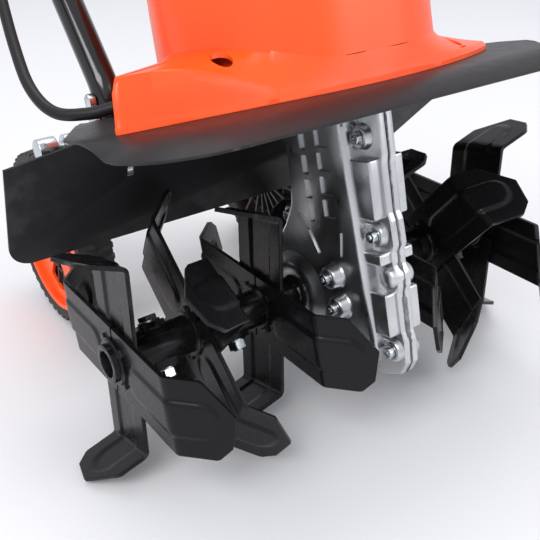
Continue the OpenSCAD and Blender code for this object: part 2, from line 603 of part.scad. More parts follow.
// A straight run of tube between two (Y, Z) points at lateral place x.
module run(x, a, b, r = tube_r) {
    v = b - a;
    translate([x, a[0], a[1]]) rotate([-atan2(v[0], v[1]), 0, 0]) cylinder(h = norm(v), r = r);
}
module ball(x, p, r = tube_r + 0.15) translate([x, p[0], p[1]]) sphere(r = r);
low_end = fold + 26 * [sin(h_ang), cos(h_ang)];
up_start = fold - 26 * [sin(h_ang), cos(h_ang)];
module lower_handle() color(black) lean() difference() {
    union() {
        sides() { run(tube_fx, foot, knee); ball(tube_fx, knee); run(tube_fx, knee, low_end); ball(tube_fx, low_end); }
        // cross bar that ties the tubes
        q = knee + 300 * [sin(h_ang), cos(h_ang)];
        xcyl(-tube_fx, tube_fx, 8, y = q[0], z = q[1]);
    }
    for (z = [165, 181]) xcyl(-200, 200, 3.06, y = 45, z = z);
    sides() xcyl(100, 200, 4.06, y = fold[0], z = fold[1]);
}
bend = fold + up_l * [sin(h_ang), cos(h_ang)];
g_ang = h_ang + 30;
bar = bend + grip_l * [sin(g_ang), cos(g_ang)];
module upper_handle() color(black) lean() difference() {
    union() {
        sides() {
            run(up_x, up_start, bend); ball(up_x, up_start); ball(up_x, bend); run(up_x, bend, bar);
            ball(up_x, bar);
        }
        xcyl(-up_x, up_x, tube_r, y = bar[0], z = bar[1]);
    }
    sides() xcyl(100, 200, 4.06, y = fold[0], z = fold[1]);
}
module fold_bolts() color(steel) lean() sides() {
    xcyl(tube_fx - tube_r - 8, up_x + tube_r + 16, 4, y = fold[0], z = fold[1]);
    translate([tube_fx - tube_r - 7, fold[0], fold[1]]) rotate([0, 90, 0]) cylinder(h = 6.6, r = 7.5, $fn = 6);
}
module cam() translate([up_x + tube_r + 0.3, fold[0], fold[1]]) rotate([-h_ang, 0, 0]) difference() {
    union() {
        xcyl(0, 17, 11);
        along_x(6, 15) polygon([[-8, 0], [-6, -58], [-2, -66], [4, -66], [8, -56], [9, 0]]);
    }
    xcyl(-1, 20, 4.06);
}
module cam_lever_left() color(orange) lean() mirror([1, 0, 0]) cam();
module cam_lever_right() color(orange) lean() cam();

// ---------------------------------------------------------------- switch and bail
module at_bar() lean() translate([0, bar[0], bar[1]]) rotate([-g_ang, 0, 0]) children();
// Box clamped round the middle of the cross bar, hollow.
module switch_box() color(black) at_bar() difference() {
    translate([-52, -34, -46]) cube([104, 60, 62]);
    translate([-49, -31, -43]) cube([98, 54, 28.5]);
    xcyl(-60, 60, tube_r + 0.03);
    // slot for the lock-off button and inlet socket
    translate([20, -40, -36]) cube([16.4, 12, 16.4]);
    ycyl(20, 30, 15, x = 0, z = -29);
    zcyl(-50, -40, 4.1, x = -34, y = -10);
    sides() xcyl(44, 60, 4.06, y = -22, z = 8);
}
module lock_button() color(orange) at_bar() {
    translate([20.2, -37.5, -35.8]) cube([16, 12, 16]);
    translate([18.4, -30.8, -37.4]) cube([19.6, 2, 19.2]);
}
module bail_lever() color(orange) at_bar() {
    sides() {
        xcyl(47, 62, 4, y = -22, z = 8);
        translate([58, -22, 8]) rotate([-90, 0, 0]) translate([0, 0, 0]) xcyl(0, 6, 7);
        translate([61, -22, 8]) rotate([38, 0, 0]) cylinder(h = 50, r = 4);
        translate([61, -22, 8]) rotate([38, 0, 0]) translate([0, 0, 50]) sphere(r = 4);
    }
    translate([0, -22, 8]) rotate([38, 0, 0]) xcyl(-125, 125, 5, z = 50);
}
module inlet_plug() color(black) at_bar() difference() {
    union() { ycyl(8.5, 22.9, 13.9, x = 0, z = -29); ycyl(22.8, 26.2, 14.9, x = 0, z = -29); ycyl(26.1, 52, 17, x = 0, z = -29); }
    ycyl(30, 60, 14, x = 0, z = -29);
    ycyl(12, 60, 13, x = 0, z = -29);
}

// ---------------------------------------------------------------- cable
cab_r = 4;
u_h = [sin(h_ang), cos(h_ang)];
// Route points (X, Y, Z) in the leaning frame.
clip1 = knee + 330 * u_h;
out_h = [u_h[1], -u_h[0]];
split = fold + 44 * out_h;           // the slack loop parts here, beside the fold axis
low_pts = [[-161.5, -52.3, 176 + lift], [-168.2, -46.3, 176 + lift], [-183, -36, 174.5], [-198, -18, 178],
           [-202, 6, 194], [-197, 34, 222], [-188, 66, 264], [-178, 98, 312], [-167, 132, 364], [-158, 168, 418],
           [-152, 204, 476], for (q = [[-80, 24], [-36, 41], [-12, 44], [0, 44]])
               [-150, (fold + q[0] * u_h + q[1] * out_h)[0], (fold + q[0] * u_h + q[1] * out_h)[1]]];
function hermite(p0, p1, m0, m1, t) = (2 * t * t * t - 3 * t * t + 1) * p0 + (t * t * t - 2 * t * t + t) * m0
    + (-2 * t * t * t + 3 * t * t) * p1 + (t * t * t - t * t) * m1;
function slope(p, i) = i == 0 ? p[1] - p[0] : i == len(p) - 1 ? p[i] - p[i - 1] : (p[i + 1] - p[i - 1]) / 2;
function route(p, n) = [for (i = [0 : len(p) - 2], k = [0 : n - 1]) hermite(p[i], p[i + 1], slope(p, i), slope(p, i + 1), k / n),
    p[len(p) - 1]];
function unit(v) = v / norm(v);
module cable_run(p, r, s = 8) {
    n = len(p);
    t = [for (i = [0 : n - 1]) unit(slope(p, i))];
    a = [for (i = [0 : n - 1]) unit(cross(t[i], [1, 0, 0]))];
    pts = [for (i = [0 : n - 1], k = [0 : s - 1]) p[i] + r * (cos(360 * k / s) * a[i] + sin(360 * k / s) * cross(t[i], a[i]))];
    side = [for (i = [0 : n - 2], k = [0 : s - 1])
        [i * s + k, i * s + (k + 1) % s, (i + 1) * s + (k + 1) % s, (i + 1) * s + k]];
    polyhedron(pts, concat([[for (k = [s - 1 : -1 : 0]) k]], side, [[for (k = [0 : s - 1]) (n - 1) * s + k]]));
}
module cable_lower() color(black) lean() cable_run(route(low_pts, 4), cab_r);
u_g = [sin(g_ang), cos(g_ang)];
n_g = [cos(g_ang), -sin(g_ang)];
endp = bar - 46 * u_g - 10 * n_g;
function yz(x, p) = [x, p[0], p[1]];
up_pts = [for (q = [[0.6, 44], [12, 44], [36, 41], [80, 24]]) yz(-150, fold + q[0] * u_h + q[1] * out_h),
    for (d = [140 : 60 : 380])
    yz(-150, fold + d * u_h + 14 * [u_h[1], -u_h[0]]), yz(-146, fold + 425 * u_h + 24 * [u_h[1], -u_h[0]]),
    yz(-126, endp - 86 * u_g + 12 * n_g), yz(-88, endp - 66 * u_g + 8 * n_g), yz(-54, endp - 46 * u_g + 2 * n_g),
    yz(-37, endp - 24 * u_g), yz(-34, endp - 4 * u_g), yz(-34, endp + 6 * u_g)];
module cable_upper() color(black) lean() cable_run(route(up_pts, 3), cab_r);
// Clips that hold the cable behind the left upper tube.
module cable_clips() color([0.75, 0.75, 0.76]) lean() for (d = [210, 260, 310]) {
    p = fold + d * u_h;
    translate([-up_x, p[0], p[1]]) rotate([-h_ang, 0, 0]) difference() {
        union() {
            zcyl(-5, 5, tube_r + 1.6);
            zcyl(-5, 5, cab_r + 2.2, x = up_x - 150, y = 14);
        }
        zcyl(-6, 6, tube_r + 0.04);
        zcyl(-6, 6, cab_r + 0.2, x = up_x - 150, y = 14);
    }
}

tines_outer_left();
tines_mid_left();
tines_inner_left();
tines_inner_right();
tines_mid_right();
tines_outer_right();
hub_outer_left();
hub_inner_left();
hub_inner_right();
hub_outer_right();
hub_bolts();
hub_nuts();
tine_shaft();
shaft_key();
worm_wheel();
worm();
motor_shaft();
worm_bearings();
shaft_bearings();
shaft_seals();
gearbox_left();
gearbox_right();
gearbox_gasket();
gearbox_screws();
motor_fan();
motor_armature();
motor_stator();
brush_holders();
motor_cage();
motor_dome();
vent_cap();
base_cover();
cover_screws();
guard_deck();
rear_apron();
frame_bolts();
chassis_bracket();
wheel_bracket();
bracket_pivot();
lock_plunger();
plunger_sleeve();
plunger_spring();
wheel_axle();
axle_nuts();
wheel_left();
wheel_right();
tyre_left();
tyre_right();
lower_handle();
upper_handle();
fold_bolts();
cam_lever_left();
cam_lever_right();
switch_box();
lock_button();
bail_lever();
inlet_plug();
cable_lower();
cable_upper();
cable_clips();
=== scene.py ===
"""Corded electric tiller: the finished shapes and surfaces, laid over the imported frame."""
import math
import bmesh
import bpy
from mathutils import Matrix, Vector, noise


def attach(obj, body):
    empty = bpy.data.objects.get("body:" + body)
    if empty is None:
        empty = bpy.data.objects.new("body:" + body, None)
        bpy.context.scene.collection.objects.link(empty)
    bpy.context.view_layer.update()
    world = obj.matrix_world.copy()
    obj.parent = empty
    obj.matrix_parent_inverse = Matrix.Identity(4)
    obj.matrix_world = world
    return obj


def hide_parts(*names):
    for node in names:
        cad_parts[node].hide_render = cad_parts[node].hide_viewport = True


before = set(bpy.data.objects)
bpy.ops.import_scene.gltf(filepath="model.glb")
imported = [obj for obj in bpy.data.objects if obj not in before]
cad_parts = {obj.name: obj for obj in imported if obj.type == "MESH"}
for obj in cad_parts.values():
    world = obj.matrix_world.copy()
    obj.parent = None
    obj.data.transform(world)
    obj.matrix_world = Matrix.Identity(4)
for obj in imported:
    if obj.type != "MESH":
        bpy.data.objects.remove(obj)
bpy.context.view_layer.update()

rad = math.radians

# ---------------------------------------------------------------- sizes shared with the CAD model, in mm
Y_MID, SHAFT_H, LEAN_A = -353.4, 101.73, rad(13.4)
BEND_R, HALF_W, BLADE_T, TIP_L, SKEW = 79.8, 28.0, 3.2, 43.0, 7.2
ROTORS = {"inner": (60, 0), "mid": (123, 40), "outer": (186, 0)}
DECK_Z = 168.0
WORM_Y = -50.0
AXLE = (245.0, 44.255)
TYRE_R, TYRE_W, WHEEL_X = 88.0, 37.0, 145.0
TUBE_R, LOW_X, UP_X = 11.0, 134.0, 156.7
H_ANG, G_ANG = rad(28.8), rad(58.8)
FOOT, KNEE = Vector((45, 146)), Vector((45, 188))
RUN = Vector((math.sin(H_ANG), math.cos(H_ANG)))
GRIP = Vector((math.sin(G_ANG), math.cos(G_ANG)))
FOLD = KNEE + 460 * RUN
BEND = FOLD + 440 * RUN
BAR = BEND + 100 * GRIP

MM = Matrix.Scale(0.001, 4)
SHAFT = MM @ Matrix.Translation((0, Y_MID, SHAFT_H))
LEAN = SHAFT @ Matrix.Rotation(-LEAN_A, 4, "X")
AT_BAR = LEAN @ Matrix.Translation((0, BAR[0], BAR[1])) @ Matrix.Rotation(-G_ANG, 4, "X")
MIRROR = Matrix.Scale(-1, 4, (1, 0, 0))

# ---------------------------------------------------------------- surface groups
def shader_group(name, ins, outs):
    tree = bpy.data.node_groups.new(name, "ShaderNodeTree")
    for label, kind, value in ins:
        s = tree.interface.new_socket(label, in_out="INPUT", socket_type="NodeSocket" + kind)
        if value is not None:
            s.default_value = value
    for label, kind in outs:
        tree.interface.new_socket(label, in_out="OUTPUT", socket_type="NodeSocket" + kind)
    return tree, tree.nodes.new("NodeGroupInput"), tree.nodes.new("NodeGroupOutput")


def add(tree, kind, links=(), **values):
    """A node with its settings, its input values and the sockets that feed it."""
    n = tree.nodes.new(kind)
    for k, v in values.items():
        if hasattr(n, k):
            setattr(n, k, v)
        else:
            n.inputs[k.replace("_", " ")].default_value = v
    for socket, source in links:
        tree.links.new(source, n.inputs[socket])
    return n


def make_mottle():
    t, i, o = shader_group("Mottle", [("Vector", "Vector", None), ("Scale", "Float", 30.0), ("Spread", "Float", 0.5)],
            [("Broad", "Float"), ("Fine", "Float")])
    broad = add(t, "ShaderNodeTexNoise", [("Vector", i.outputs[0]), ("Scale", i.outputs[1])], Detail=3.0)
    big = add(t, "ShaderNodeMath", [(0, i.outputs[1])], operation="MULTIPLY")
    big.inputs[1].default_value = 7.0
    fine = add(t, "ShaderNodeTexNoise", [("Vector", i.outputs[0]), ("Scale", big.outputs[0])], Detail=5.0)
    for k, source in enumerate((broad, fine)):
        r = add(t, "ShaderNodeMapRange", [("Value", source.outputs["Fac"])], From_Min=0.3, From_Max=0.7)
        m = add(t, "ShaderNodeMath", [(0, r.outputs[0]), (1, i.outputs[2])], operation="MULTIPLY")
        t.links.new(m.outputs[0], o.inputs[k])
    return t


def make_grain():
    t, i, o = shader_group("Grain", [("Vector", "Vector", None), ("Size", "Float", 900.0), ("Waves", "Float", 0.3)],
            [("Height", "Float")])
    pits = add(t, "ShaderNodeTexVoronoi", [("Vector", i.outputs[0]), ("Scale", i.outputs[1])])
    soft = add(t, "ShaderNodeTexNoise", [("Vector", i.outputs[0])], Scale=45.0, Detail=2.0)
    w = add(t, "ShaderNodeMath", [(0, soft.outputs["Fac"]), (1, i.outputs[2])], operation="MULTIPLY")
    s = add(t, "ShaderNodeMath", [(0, pits.outputs["Distance"]), (1, w.outputs[0])], operation="ADD")
    t.links.new(s.outputs[0], o.inputs[0])
    return t


# Edge mask: worn edges on most finishes; on the die casting its bright tone is also a painted highlight along the edges
def make_wear_and_highlight():
    t, i, o = shader_group("Edge wear", [("Vector", "Vector", None), ("Amount", "Float", 0.5),
            ("Scale", "Float", 60.0)], [("Mask", "Float")])
    geo = t.nodes.new("ShaderNodeNewGeometry")
    edge = add(t, "ShaderNodeMapRange", [("Value", geo.outputs["Pointiness"])], From_Min=0.53, From_Max=0.62)
    spots = add(t, "ShaderNodeTexNoise", [("Vector", i.outputs[0]), ("Scale", i.outputs[2])], Detail=6.0)
    cut = add(t, "ShaderNodeMapRange", [("Value", spots.outputs["Fac"])], From_Min=0.48, From_Max=0.62)
    m = add(t, "ShaderNodeMath", [(0, edge.outputs[0]), (1, cut.outputs[0])], operation="MULTIPLY")
    a = add(t, "ShaderNodeMath", [(0, m.outputs[0]), (1, i.outputs[1])], operation="MULTIPLY", use_clamp=True)
    t.links.new(a.outputs[0], o.inputs[0])
    return t


MOTTLE, GRAIN, WEAR_AND_HIGHLIGHT = make_mottle(), make_grain(), make_wear_and_highlight()


def finish(name, light, dark, rough, spread=0.5, scale=30.0, metal=0.0, grain=(900.0, 0.15, 0.00005), waves=0.3,
        worn_and_highlight_tone=None, wear_and_highlight_amount=0.5, coat=0.0, coat_rough=0.1, stretch=(1, 1, 1), shine=0.5):
    """A finish: two tones broken up by mottling, a surface grain, and an edge tone: worn edges, and on the die casting
    also a painted highlight.
    """
    m = bpy.data.materials.new(name)
    m.use_nodes = True
    t = m.node_tree
    p = t.nodes["Principled BSDF"]
    where = t.nodes.new("ShaderNodeTexCoord")
    v = add(t, "ShaderNodeMapping", [("Vector", where.outputs["Object"])], Scale=stretch).outputs[0]
    mot = add(t, "ShaderNodeGroup", [(0, v)], node_tree=MOTTLE, Scale=scale, Spread=spread)
    tone = add(t, "ShaderNodeMix", [("Factor", mot.outputs["Broad"])], data_type="RGBA", A=(*light, 1), B=(*dark, 1))
    colour = tone.outputs["Result"]
    # edge tone: wear, and a painted highlight where the finish gives a bright edge tone (the die casting)
    if worn_and_highlight_tone:
        w = add(t, "ShaderNodeGroup", [(0, v)], node_tree=WEAR_AND_HIGHLIGHT, Amount=wear_and_highlight_amount)
        mix = add(t, "ShaderNodeMix", [("Factor", w.outputs[0]), ("A", colour)], data_type="RGBA", B=(*worn_and_highlight_tone, 1))
        colour = mix.outputs["Result"]
    t.links.new(colour, p.inputs["Base Color"])
    r = add(t, "ShaderNodeMapRange", [("Value", mot.outputs["Fine"])], To_Min=rough[0], To_Max=rough[1])
    t.links.new(r.outputs[0], p.inputs["Roughness"])
    for k, value in (("Metallic", metal), ("Specular IOR Level", shine), ("Coat Weight", coat),
            ("Coat Roughness", coat_rough)):
        p.inputs[k].default_value = value
    size, strength, depth = grain
    g = add(t, "ShaderNodeGroup", [(0, v)], node_tree=GRAIN, Size=size, Waves=waves)
    b = add(t, "ShaderNodeBump", [("Height", g.outputs[0])], Strength=strength, Distance=depth)
    t.links.new(b.outputs[0], p.inputs["Normal"])
    return m


M = {
    "tine_steel": finish("Tine paint", (0.0045, 0.0045, 0.005), (0.009, 0.009, 0.0095), (0.24, 0.36), scale=18,
        shine=0.16, grain=(900, 0.05, 0.00006), waves=0.6, worn_and_highlight_tone=(0.16, 0.16, 0.17), wear_and_highlight_amount=0.35, coat=0.08,
        coat_rough=0.12),
    "tube_black": finish("Tube paint", (0.004, 0.004, 0.0045), (0.007, 0.007, 0.0075), (0.14, 0.24), scale=20,
        shine=0.4, grain=(700, 0.06, 0.00006), worn_and_highlight_tone=(0.2, 0.2, 0.2), wear_and_highlight_amount=0.2, coat=0.35, coat_rough=0.06),
    "sheet_black": finish("Guard powder coat", (0.016, 0.0145, 0.016), (0.010, 0.009, 0.010), (0.38, 0.52),
        scale=14, shine=0.20, grain=(1500, 0.35, 0.00012), waves=0.2, worn_and_highlight_tone=(0.22, 0.22, 0.22), wear_and_highlight_amount=0.4),
    "zinc": finish("Zinc plate", (0.62, 0.66, 0.68), (0.44, 0.48, 0.50), (0.22, 0.42), metal=1.0, scale=60,
        grain=(1200, 0.10, 0.00005), worn_and_highlight_tone=(0.2, 0.2, 0.2), wear_and_highlight_amount=0.3),
    "steel": finish("Ground steel", (0.52, 0.53, 0.55), (0.40, 0.41, 0.43), (0.22, 0.38), metal=1.0, scale=40,
        grain=(1600, 0.10, 0.00004), stretch=(0.2, 1, 1), worn_and_highlight_tone=(0.3, 0.3, 0.3), wear_and_highlight_amount=0.3),
    # the bright edge tone here is partly wear and partly a painted highlight on the casting's edges and blocks
    "cast_alu": finish("Die casting", (0.60, 0.61, 0.62), (0.40, 0.41, 0.425), (0.27, 0.42), metal=1.0, scale=16,
        spread=0.6, grain=(1400, 0.12, 0.00008), waves=1.0, worn_and_highlight_tone=(0.80, 0.81, 0.82), wear_and_highlight_amount=0.6),
    "orange": finish("Orange moulding", (1.0, 0.085, 0.004), (0.93, 0.066, 0.003), (0.30, 0.42), scale=10,
        spread=0.4, grain=(1900, 0.12, 0.00006), waves=0.1, worn_and_highlight_tone=(1.0, 0.20, 0.06), wear_and_highlight_amount=0.25),
    "black_plastic": finish("Black moulding", (0.022, 0.022, 0.023), (0.014, 0.014, 0.015), (0.42, 0.58), scale=18,
        grain=(1600, 0.35, 0.00010), worn_and_highlight_tone=(0.10, 0.10, 0.10), wear_and_highlight_amount=0.3),
    "rubber": finish("Cable sheath", (0.012, 0.012, 0.013), (0.007, 0.007, 0.008), (0.38, 0.52), scale=25,
        shine=0.22, grain=(900, 0.15, 0.00008), worn_and_highlight_tone=(0.06, 0.06, 0.06), wear_and_highlight_amount=0.2),
    "tyre": finish("Tyre rubber", (0.020, 0.020, 0.021), (0.036, 0.035, 0.034), (0.62, 0.85), scale=30, spread=0.8,
        grain=(600, 0.5, 0.00022), waves=0.8, worn_and_highlight_tone=(0.09, 0.088, 0.085), wear_and_highlight_amount=0.5),
    "bronze": finish("Gear bronze", (0.62, 0.40, 0.15), (0.45, 0.28, 0.10), (0.26, 0.42), metal=1.0, scale=40,
        grain=(1200, 0.12, 0.00006), worn_and_highlight_tone=(0.8, 0.6, 0.3), wear_and_highlight_amount=0.4),
    "copper": finish("Lacquered copper", (0.55, 0.22, 0.09), (0.35, 0.13, 0.05), (0.25, 0.4), metal=1.0, scale=60,
        grain=(600, 0.4, 0.0002), stretch=(4, 4, 0.6), worn_and_highlight_tone=(0.8, 0.5, 0.3), wear_and_highlight_amount=0.3),
    "iron": finish("Laminated iron", (0.24, 0.24, 0.26), (0.15, 0.15, 0.17), (0.4, 0.6), metal=1.0, scale=50,
        grain=(900, 0.4, 0.0002), stretch=(0.3, 0.3, 6), worn_and_highlight_tone=(0.4, 0.4, 0.4), wear_and_highlight_amount=0.4),
    "sealant": finish("Joint sealant", (0.20, 0.20, 0.21), (0.05, 0.05, 0.05), (0.35, 0.6), scale=160, spread=1.0,
        grain=(500, 0.5, 0.0002), waves=1.0, worn_and_highlight_tone=(0.4, 0.4, 0.4), wear_and_highlight_amount=0.4),
}

# ---------------------------------------------------------------- mesh tools, all in mm before placing
def placed(name, data):
    """A new object of this data, in the scene."""
    ob = bpy.data.objects.new(name, data)
    bpy.context.scene.collection.objects.link(ob)
    return ob


def to_mesh(name, bm):
    me = bpy.data.meshes.new(name)
    bm.to_mesh(me)
    bm.free()
    return me


def from_mesh(me):
    bm = bmesh.new()
    bm.from_mesh(me)
    bpy.data.meshes.remove(me)
    return bm


def outward(bm):
    bmesh.ops.recalc_face_normals(bm, faces=bm.faces)
    return bm


def upward_faces(bm):
    """Turns an open sheet's faces to look up."""
    outward(bm)
    if sum(f.normal.z * f.calc_area() for f in bm.faces) < 0:
        bmesh.ops.reverse_faces(bm, faces=bm.faces)
    return bm


def break_edges(bm, width, steps, angle, only=lambda e: True):
    """Bevels the edges that turn by more than an angle in degrees."""
    edges = [e for e in bm.edges if len(e.link_faces) == 2 and e.calc_face_angle(0) > rad(angle) and only(e)]
    bmesh.ops.bevel(bm, geom=edges, offset=width, segments=steps, profile=0.5, affect="EDGES", clamp_overlap=True)
    return bm


def as_piece(name, bm, place, body, slot, *nodes, smooth=38, bevel=None, merge=0.002, turn_out=True):
    """Closes, bevels and places a mesh, gives it its finish, and makes it ride on its body."""
    bmesh.ops.remove_doubles(bm, verts=bm.verts, dist=merge)
    if turn_out:
        outward(bm)
    if bevel:
        break_edges(bm, *bevel)
        bmesh.ops.remove_doubles(bm, verts=bm.verts, dist=merge)
    bm.transform(place)
    if place.determinant() < 0:
        bmesh.ops.reverse_faces(bm, faces=bm.faces)
    return settle(name, to_mesh(name, bm), body, slot, *nodes, smooth=smooth)


def settle(name, me, body, slot, *nodes, smooth=38):
    me.materials.clear()
    me.materials.append(M[slot])
    for p in me.polygons:
        p.use_smooth = True
        p.material_index = 0
    me.set_sharp_from_angle(angle=rad(smooth))
    ob = placed(name, me)
    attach(ob, body)
    if nodes:
        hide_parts(*nodes)
    return ob


def baked(ob):
    """The evaluated mesh of an object whose modifiers are done with; the object goes."""
    bpy.context.view_layer.update()
    me = bpy.data.meshes.new_from_object(ob.evaluated_get(bpy.context.evaluated_depsgraph_get()))
    old = ob.data
    bpy.data.objects.remove(ob)
    if isinstance(old, bpy.types.Mesh):
        bpy.data.meshes.remove(old)
    return me


def loose(bm, name="work"):
    return placed(name, to_mesh(name, bm))


def cut(bm, cutter, operation="DIFFERENCE"):
    """Takes one closed mesh out of another."""
    a, b = loose(outward(bm)), loose(outward(cutter))
    mod = a.modifiers.new("cut", "BOOLEAN")
    mod.operation, mod.object, mod.solver = operation, b, "EXACT"
    me = baked(a)
    bpy.data.objects.remove(b)
    return from_mesh(me)


def thicken(bm, t):
    """Gives a sheet its wall, inwards from the side its faces look to."""
    ob = loose(bm)
    mod = ob.modifiers.new("wall", "SOLIDIFY")
    mod.thickness, mod.offset, mod.use_even_offset = t, -1.0, True
    return from_mesh(baked(ob))


def along(axis, t, p):
    return {"X": (t, p[0], p[1]), "Y": (p[0], t, p[1]), "Z": (p[0], p[1], t)}[axis]


def extrude(bm, outline, a, b, axis="X"):
    lo = [bm.verts.new(along(axis, a, p)) for p in outline]
    hi = [bm.verts.new(along(axis, b, p)) for p in outline]
    n = len(outline)
    bm.faces.new(lo)
    bm.faces.new(hi[::-1])
    for i in range(n):
        bm.faces.new((lo[i], hi[i], hi[(i + 1) % n], lo[(i + 1) % n]))
    return bm


def arc(c, r, a0, a1, n):
    return [(c[0] + r * math.cos(rad(a0 + (a1 - a0) * i / n)), c[1] + r * math.sin(rad(a0 + (a1 - a0) * i / n)))
            for i in range(n + 1)]


def slab(outline, a, b, axis="X"):
    return extrude(bmesh.new(), outline, a, b, axis)


def rounded(points, r, n=5):
    """An outline with its corners rounded; r is one radius, or one for each corner."""
    out, m = [], len(points)
    for i, p in enumerate(points):
        rr = r[i] if isinstance(r, (list, tuple)) else r
        p = Vector(p)
        a, b = Vector(points[i - 1]) - p, Vector(points[(i + 1) % m]) - p
        la, lb = a.length, b.length
        half = a.angle(b) / 2
        if rr <= 0 or half > rad(89):
            out.append(tuple(p))
            continue
        d = min(rr / math.tan(half), la * 0.49, lb * 0.49)
        s, e = p + a * (d / la), p + b * (d / lb)
        for k in range(n + 1):
            t = k / n
            out.append(tuple((1 - t) ** 2 * s + 2 * t * (1 - t) * p + t * t * e))
    return out


def box_outline(x0, y0, x1, y1, r=0.0, n=4):
    return rounded([(x0, y0), (x1, y0), (x1, y1), (x0, y1)], r, n)


def lathe(bm, profile, axis="X", at=(0, 0), segs=48, closed=False):
    """Turns (place along the axis, radius) about the axis; closed joins the last point to the first."""
    rings = []
    for t, r in profile:
        if r < 1e-6:
            rings.append([bm.verts.new(along(axis, t, at))])
        else:
            rings.append([bm.verts.new(along(axis, t, (at[0] + r * math.cos(2 * math.pi * k / segs),
                    at[1] + r * math.sin(2 * math.pi * k / segs)))) for k in range(segs)])
    pairs = list(zip(rings, rings[1:])) + ([(rings[-1], rings[0])] if closed else [])
    for a, b in pairs:
        for k in range(segs):
            j = (k + 1) % segs
            face = [a[k % len(a)], b[k % len(b)], b[j % len(b)], a[j % len(a)]]
            face = [v for i, v in enumerate(face) if v not in face[:i]]
            if len(face) > 2:
                bm.faces.new(face)
    if not closed:
        for ring in (rings[0], rings[-1]):
            if len(ring) > 2:
                bm.faces.new(ring)
    return bm


def turned(profile, axis="X", at=(0, 0), segs=48, closed=False):
    return lathe(bmesh.new(), profile, axis, at, segs, closed)


def skin(bm, rows, around=False):
    """Quads over a grid of points; around joins the end of each row to its start."""
    grid = [[bm.verts.new(p) for p in row] for row in rows]
    n = len(rows[0])
    for a, b in zip(grid, grid[1:]):
        for k in range(n if around else n - 1):
            j = (k + 1) % n
            bm.faces.new((a[k], a[j], b[j], b[k]))
    return grid


def smooth01(a, b, x):
    t = min(1.0, max(0.0, (x - a) / (b - a)))
    return t * t * (3 - 2 * t)


def eased(node, width, slot, body, name=None, steps=2, angle=32):
    """A CAD piece of the right shape, with its edges broken."""
    bm = bmesh.new()
    bm.from_mesh(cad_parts[node].data)
    bmesh.ops.remove_doubles(bm, verts=bm.verts, dist=2e-6)
    bmesh.ops.dissolve_limit(bm, angle_limit=rad(0.6), verts=bm.verts, edges=bm.edges)
    return as_piece(name or node.replace("_", " ").title().replace(" ", "_"), bm, Matrix.Identity(4), body, slot, node,
            bevel=(width / 1000, steps, angle), merge=1e-6)


# ---------------------------------------------------------------- node trees for what repeats or follows a path
def geometry_tree(name, ins):
    t = bpy.data.node_groups.new(name, "GeometryNodeTree")
    t.interface.new_socket("Geometry", in_out="INPUT", socket_type="NodeSocketGeometry")
    for label, kind, value in ins:
        s = t.interface.new_socket(label, in_out="INPUT", socket_type="NodeSocket" + kind)
        if value is not None:
            s.default_value = value
    t.interface.new_socket("Geometry", in_out="OUTPUT", socket_type="NodeSocketGeometry")
    return t, t.nodes.new("NodeGroupInput"), t.nodes.new("NodeGroupOutput")


def close_tree(t, i, o, geometry):
    real = add(t, "GeometryNodeRealizeInstances", [("Geometry", geometry)])
    painted = add(t, "GeometryNodeSetMaterial", [("Geometry", real.outputs[0]), ("Material", i.outputs["Material"])])
    t.links.new(painted.outputs[0], o.inputs[0])
    return t


def make_tube_tree():
    t, i, o = geometry_tree("Tube on a path", [("Radius", "Float", 1.0), ("Sides", "Int", 24),
            ("Material", "Material", None)])
    ring = add(t, "GeometryNodeCurvePrimitiveCircle", [("Resolution", i.outputs["Sides"]),
            ("Radius", i.outputs["Radius"])])
    swept = add(t, "GeometryNodeCurveToMesh", [("Curve", i.outputs["Geometry"]), ("Profile Curve", ring.outputs[0])],
            Fill_Caps=True)
    return close_tree(t, i, o, swept.outputs[0])


def make_round_tree():
    t, i, o = geometry_tree("Set round an axle", [("Count", "Int", 8), ("Phase", "Float", 0.0),
            ("Material", "Material", None)])
    line = add(t, "GeometryNodeMeshLine", [("Count", i.outputs["Count"])], Offset=(0, 0, 0))
    index = t.nodes.new("GeometryNodeInputIndex")
    part = add(t, "ShaderNodeMath", [(0, index.outputs[0]), (1, i.outputs["Count"])], operation="DIVIDE")
    turn = add(t, "ShaderNodeMath", [(0, part.outputs[0]), (2, i.outputs["Phase"])], operation="MULTIPLY_ADD")
    turn.inputs[1].default_value = 2 * math.pi
    euler = add(t, "ShaderNodeCombineXYZ", [("X", turn.outputs[0])])
    rot = add(t, "FunctionNodeEulerToRotation", [(0, euler.outputs[0])])
    inst = add(t, "GeometryNodeInstanceOnPoints", [("Points", line.outputs[0]), ("Instance", i.outputs["Geometry"]),
            ("Rotation", rot.outputs[0])])
    return close_tree(t, i, o, inst.outputs[0])


def make_places_tree():
    t, i, o = geometry_tree("Set at places", [("Item", "Object", None), ("Material", "Material", None)])
    item = add(t, "GeometryNodeObjectInfo", [("Object", i.outputs["Item"])])
    turn = add(t, "GeometryNodeInputNamedAttribute", data_type="FLOAT_VECTOR", Name="turn")
    rot = add(t, "FunctionNodeEulerToRotation", [(0, turn.outputs["Attribute"])])
    inst = add(t, "GeometryNodeInstanceOnPoints", [("Points", i.outputs["Geometry"]), ("Instance",
            item.outputs["Geometry"]), ("Rotation", rot.outputs[0])])
    return close_tree(t, i, o, inst.outputs[0])


TUBE, ROUND, PLACES = make_tube_tree(), make_round_tree(), make_places_tree()


def run_tree(ob, tree, **values):
    mod = ob.modifiers.new(tree.name, "NODES")
    mod.node_group = tree
    for item in tree.interface.items_tree:
        if item.in_out == "INPUT" and item.name in values:
            mod[item.identifier] = values[item.name]
    return from_mesh(baked(ob))


